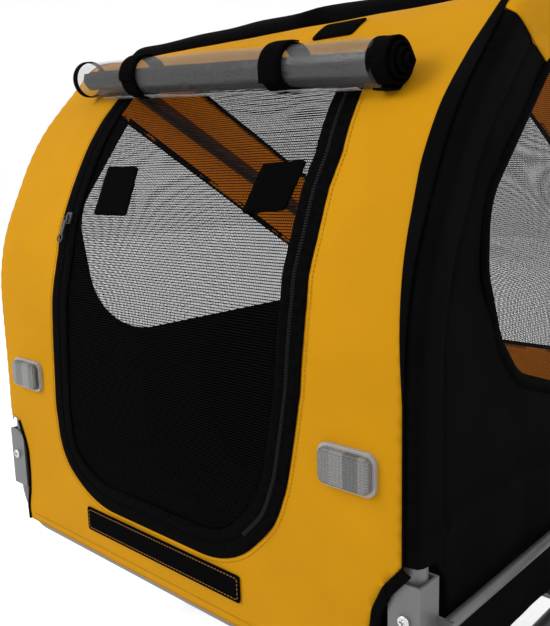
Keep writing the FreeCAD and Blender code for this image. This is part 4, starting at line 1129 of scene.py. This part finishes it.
class TRAILER_OT_trim(bpy.types.Operator):
    """Hook-and-loop strip, tab and door patches"""
    bl_idname = "trailer.trim"
    bl_label = "Sewn trim"

    def execute(self, context):
        border = rounded(strip_corners(3), True, 2.0)
        sewn = make_studs("strip_stitches", border, "tan_thread", STRIP_STITCH, 1.9, True)
        fit(sewn, "yellow_fabric", "chassis")
        hem = make_studs("hem_stitches", [(-260, 10), (260, 10)], "yellow_thread", STITCH, 0.1, False)
        fit(hem, "yellow_fabric", "chassis")
        for side, word, corners, broad in ((-1, "left", CUT_OUT_LEFT, 4.0), (1, "right", CUT_OUT_RIGHT, 9.0)):
            cut = even([(x * side, float(s_front(z))) for x, z in corners], 4.0)
            tape = make_ribbon("notch_tape_" + word, cut, -broad * side, side, over_cabin, False, 1.2, 6)
            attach(tape, "chassis")
        sew_patch("hook_strip", strip_corners(0), 1.9, "chassis", "hook_strips")
        tab = [(x, float(s_roof(y)), 3) for x, y in ROOF_TAB]
        sew_patch("roof_tab", tab, 1.9, "chassis")
        for k, corners in enumerate(DOOR_PATCHES):
            patch = [(x, float(s_front(z)), 3) for x, z in corners]
            nodes = ["door_patches"] if k == 0 else []
            sew_patch("door_patch_%d" % (k + 1), patch, 0.9, "front_door", *nodes)
        return {"FINISHED"}


class Roll:
    """The rolled rain cover's line, from its left end to its right."""

    def __init__(self):
        self.left = np.array(ROLL_LEFT)
        reach = np.array(ROLL_RIGHT) - self.left
        self.length = float(np.linalg.norm(reach))
        self.axis = reach / np.linalg.norm(reach)
        ahead = np.array((0.0, -1.0, 0.0))
        ahead -= self.axis * (ahead @ self.axis)
        self.ahead = ahead / np.linalg.norm(ahead)
        up = np.cross(self.ahead, self.axis)
        self.up = up * np.sign(up[2])

    def ray(self, angle):
        return self.ahead * math.cos(angle) + self.up * math.sin(angle)

    def fatness(self, run):
        """How much thicker the roll is than its nominal size, some way along."""
        t = min(max(run / self.length, 0.0), 1.0)
        return 1.06 + 0.16 * t * (1 - t) - 0.055 * t

    def pressed(self, p):
        """Flattens the roll where it lies on the sloping front."""
        slope = np.array((0.0, -0.719, 0.695))
        under = 1.6 - (p - np.array((0.0, 65.0, 478.0))) @ slope
        return p + slope * max(0.0, under)

    def coil(self, name, span, radii, turns, thickness, finish, columns, uneven, cone=0.0, begin=2.4):
        """A sheet wound from the inside out about the roll's axis."""
        steps = max(6, int(turns * 40))
        rows = []
        for t in np.linspace(0, 1, columns + 1):
            place = span[0] + (span[1] - span[0]) * t
            points, outs, uv = [], [], []
            for k in range(steps + 1):
                angle = begin + 2 * math.pi * turns * k / steps
                radius = (radii[0] + (radii[1] - radii[0]) * k / steps) * self.fatness(place)
                wave = noise.noise(Vector((t * 7, math.cos(angle) * 1.2, math.sin(angle) * 1.2 + radii[1])))
                radius += uneven * wave * k / steps
                run = place + cone * (1 - k / steps)
                points.append(self.pressed(self.left + self.axis * run + self.ray(angle) * radius))
                outs.append(self.ray(angle))
                uv.append((run, radius * angle))
            rows.append((points, outs, uv))
        made = make_grid(name, rows, finish, thickness)
        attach(made, "chassis")
        return made

    def strap(self, name, path, centre, *nodes):
        """A band of hook-and-loop tape along a path round the roll."""
        across = np.linspace(-0.5, 0.5, 7)
        rows = []
        for i, p in enumerate(path):
            dip = (p - centre) * 0.03
            points = [self.pressed(p + self.axis * c * STRAP_WIDTH - dip * (2 * c) ** 4) for c in across]
            rows.append((points, [p - centre] * len(across), [(c * STRAP_WIDTH, i * 4.0) for c in across]))
        made = make_grid(name, rows, "hook_and_loop", 1.5)
        fit(made, "black_webbing", "chassis", *nodes)


class TRAILER_OT_rain_cover(bpy.types.Operator):
    """Rolled clear rain cover with its bound ends, and the two straps that hold it"""
    bl_idname = "trailer.rain_cover"
    bl_label = "Rain cover roll"

    def execute(self, context):
        roll = Roll()
        end = roll.length
        vinyl = roll.coil("rain_cover", (5, end - 18), (16.0, ROLL_R), 2.3, 0.4, "clear_vinyl", 60, 1.3)
        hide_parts("rain_cover_roll")
        left = roll.coil("rain_cover_edge_left", (-1, 7), (18.4, 21.6), 1.2, 1.7, "black_webbing", 3, 0.3)
        right = roll.coil("rain_cover_edge_right", (end - 26, end - 6), (3.0, 22.6), 4.4, 2.0, "black_webbing",
                          8, 0.8, cone=17.0)
        # A black coil wound inside the roll along most of its length. It is painted shade standing in for the
        # dark inside of the rolled vinyl.
        hem = roll.coil("rain_cover_painted_shade_core", (0.02 * end, 0.86 * end), (6.0, 12.5), 1.7, 1.4, "black_webbing",
                        40, 1.2)
        # A thin light strip along the underside of the outer turn. It is a painted highlight of light along
        # the vinyl's lower edge.
        painted_highlight_strip = roll.coil("rain_cover_painted_highlight", (0.1 * end, 0.92 * end), (21.2, 21.6), 0.075, 0.3,
                        "clear_vinyl_painted_highlight", 60, 2.0, begin=math.radians(-92))
        for k, x in enumerate((-STRAP_X, STRAP_X)):
            run = (x - roll.left[0]) / roll.axis[0]
            centre = roll.left + roll.axis * run
            size = ROLL_R * roll.fatness(run) + 1.2
            nodes = ["roll_straps"] if k == 0 else []
            loop = [centre + roll.ray(math.radians(200 - 10 * i)) * size for i in range(37)]
            roll.strap("roll_strap_%d" % (k + 1), loop, centre, *nodes)
            tail = []
            for i in range(11):
                tail.append(centre + roll.ray(math.radians(95 - 9.5 * i)) * (size + 1.8 + 0.04 * i))
            drop = tail[-1]
            tail += [drop + np.array((0.0, 0.2 * i, -(2.0 + 3.0 * k) * i)) for i in range(1, 4)]
            roll.strap("roll_strap_tail_%d" % (k + 1), tail, centre)
        return {"FINISHED"}


class TRAILER_PT_panel(bpy.types.Panel):
    """Lists the trailer's pieces in the order they are made"""
    bl_idname = "TRAILER_PT_panel"
    bl_label = "Dog bike trailer"
    bl_space_type = "VIEW_3D"
    bl_region_type = "UI"
    bl_category = "Trailer"

    def draw(self, context):
        for group in (context.scene.trailer_look, context.scene.trailer_cloth):
            for name in group.__annotations__:
                self.layout.prop(group, name)
        for step in STEPS:
            self.layout.operator(step.bl_idname)


STEPS = (TRAILER_OT_stage, TRAILER_OT_frame_finish, TRAILER_OT_front_cloth, TRAILER_OT_door,
         TRAILER_OT_zip_pull, TRAILER_OT_roof, TRAILER_OT_sides, TRAILER_OT_floor, TRAILER_OT_trim,
         TRAILER_OT_rain_cover)
CLASSES = (TrailerLook, TrailerCloth) + STEPS + (TRAILER_PT_panel,)


def register():
    for made in CLASSES:
        bpy.utils.register_class(made)
    bpy.types.Scene.trailer_look = bpy.props.PointerProperty(type=TrailerLook)
    bpy.types.Scene.trailer_cloth = bpy.props.PointerProperty(type=TrailerCloth)


def unregister():
    del bpy.types.Scene.trailer_cloth
    del bpy.types.Scene.trailer_look
    for made in reversed(CLASSES):
        bpy.utils.unregister_class(made)


def main():
    register()
    bpy.ops.trailer.stage()
    bpy.ops.trailer.frame_finish()
    bpy.ops.trailer.front_cloth()
    bpy.ops.trailer.door()
    bpy.ops.trailer.zip_pull()
    bpy.ops.trailer.roof()
    bpy.ops.trailer.sides()
    bpy.ops.trailer.floor_cloth()
    bpy.ops.trailer.trim()
    bpy.ops.trailer.rain_cover()


if __name__ == "__main__":
    main()
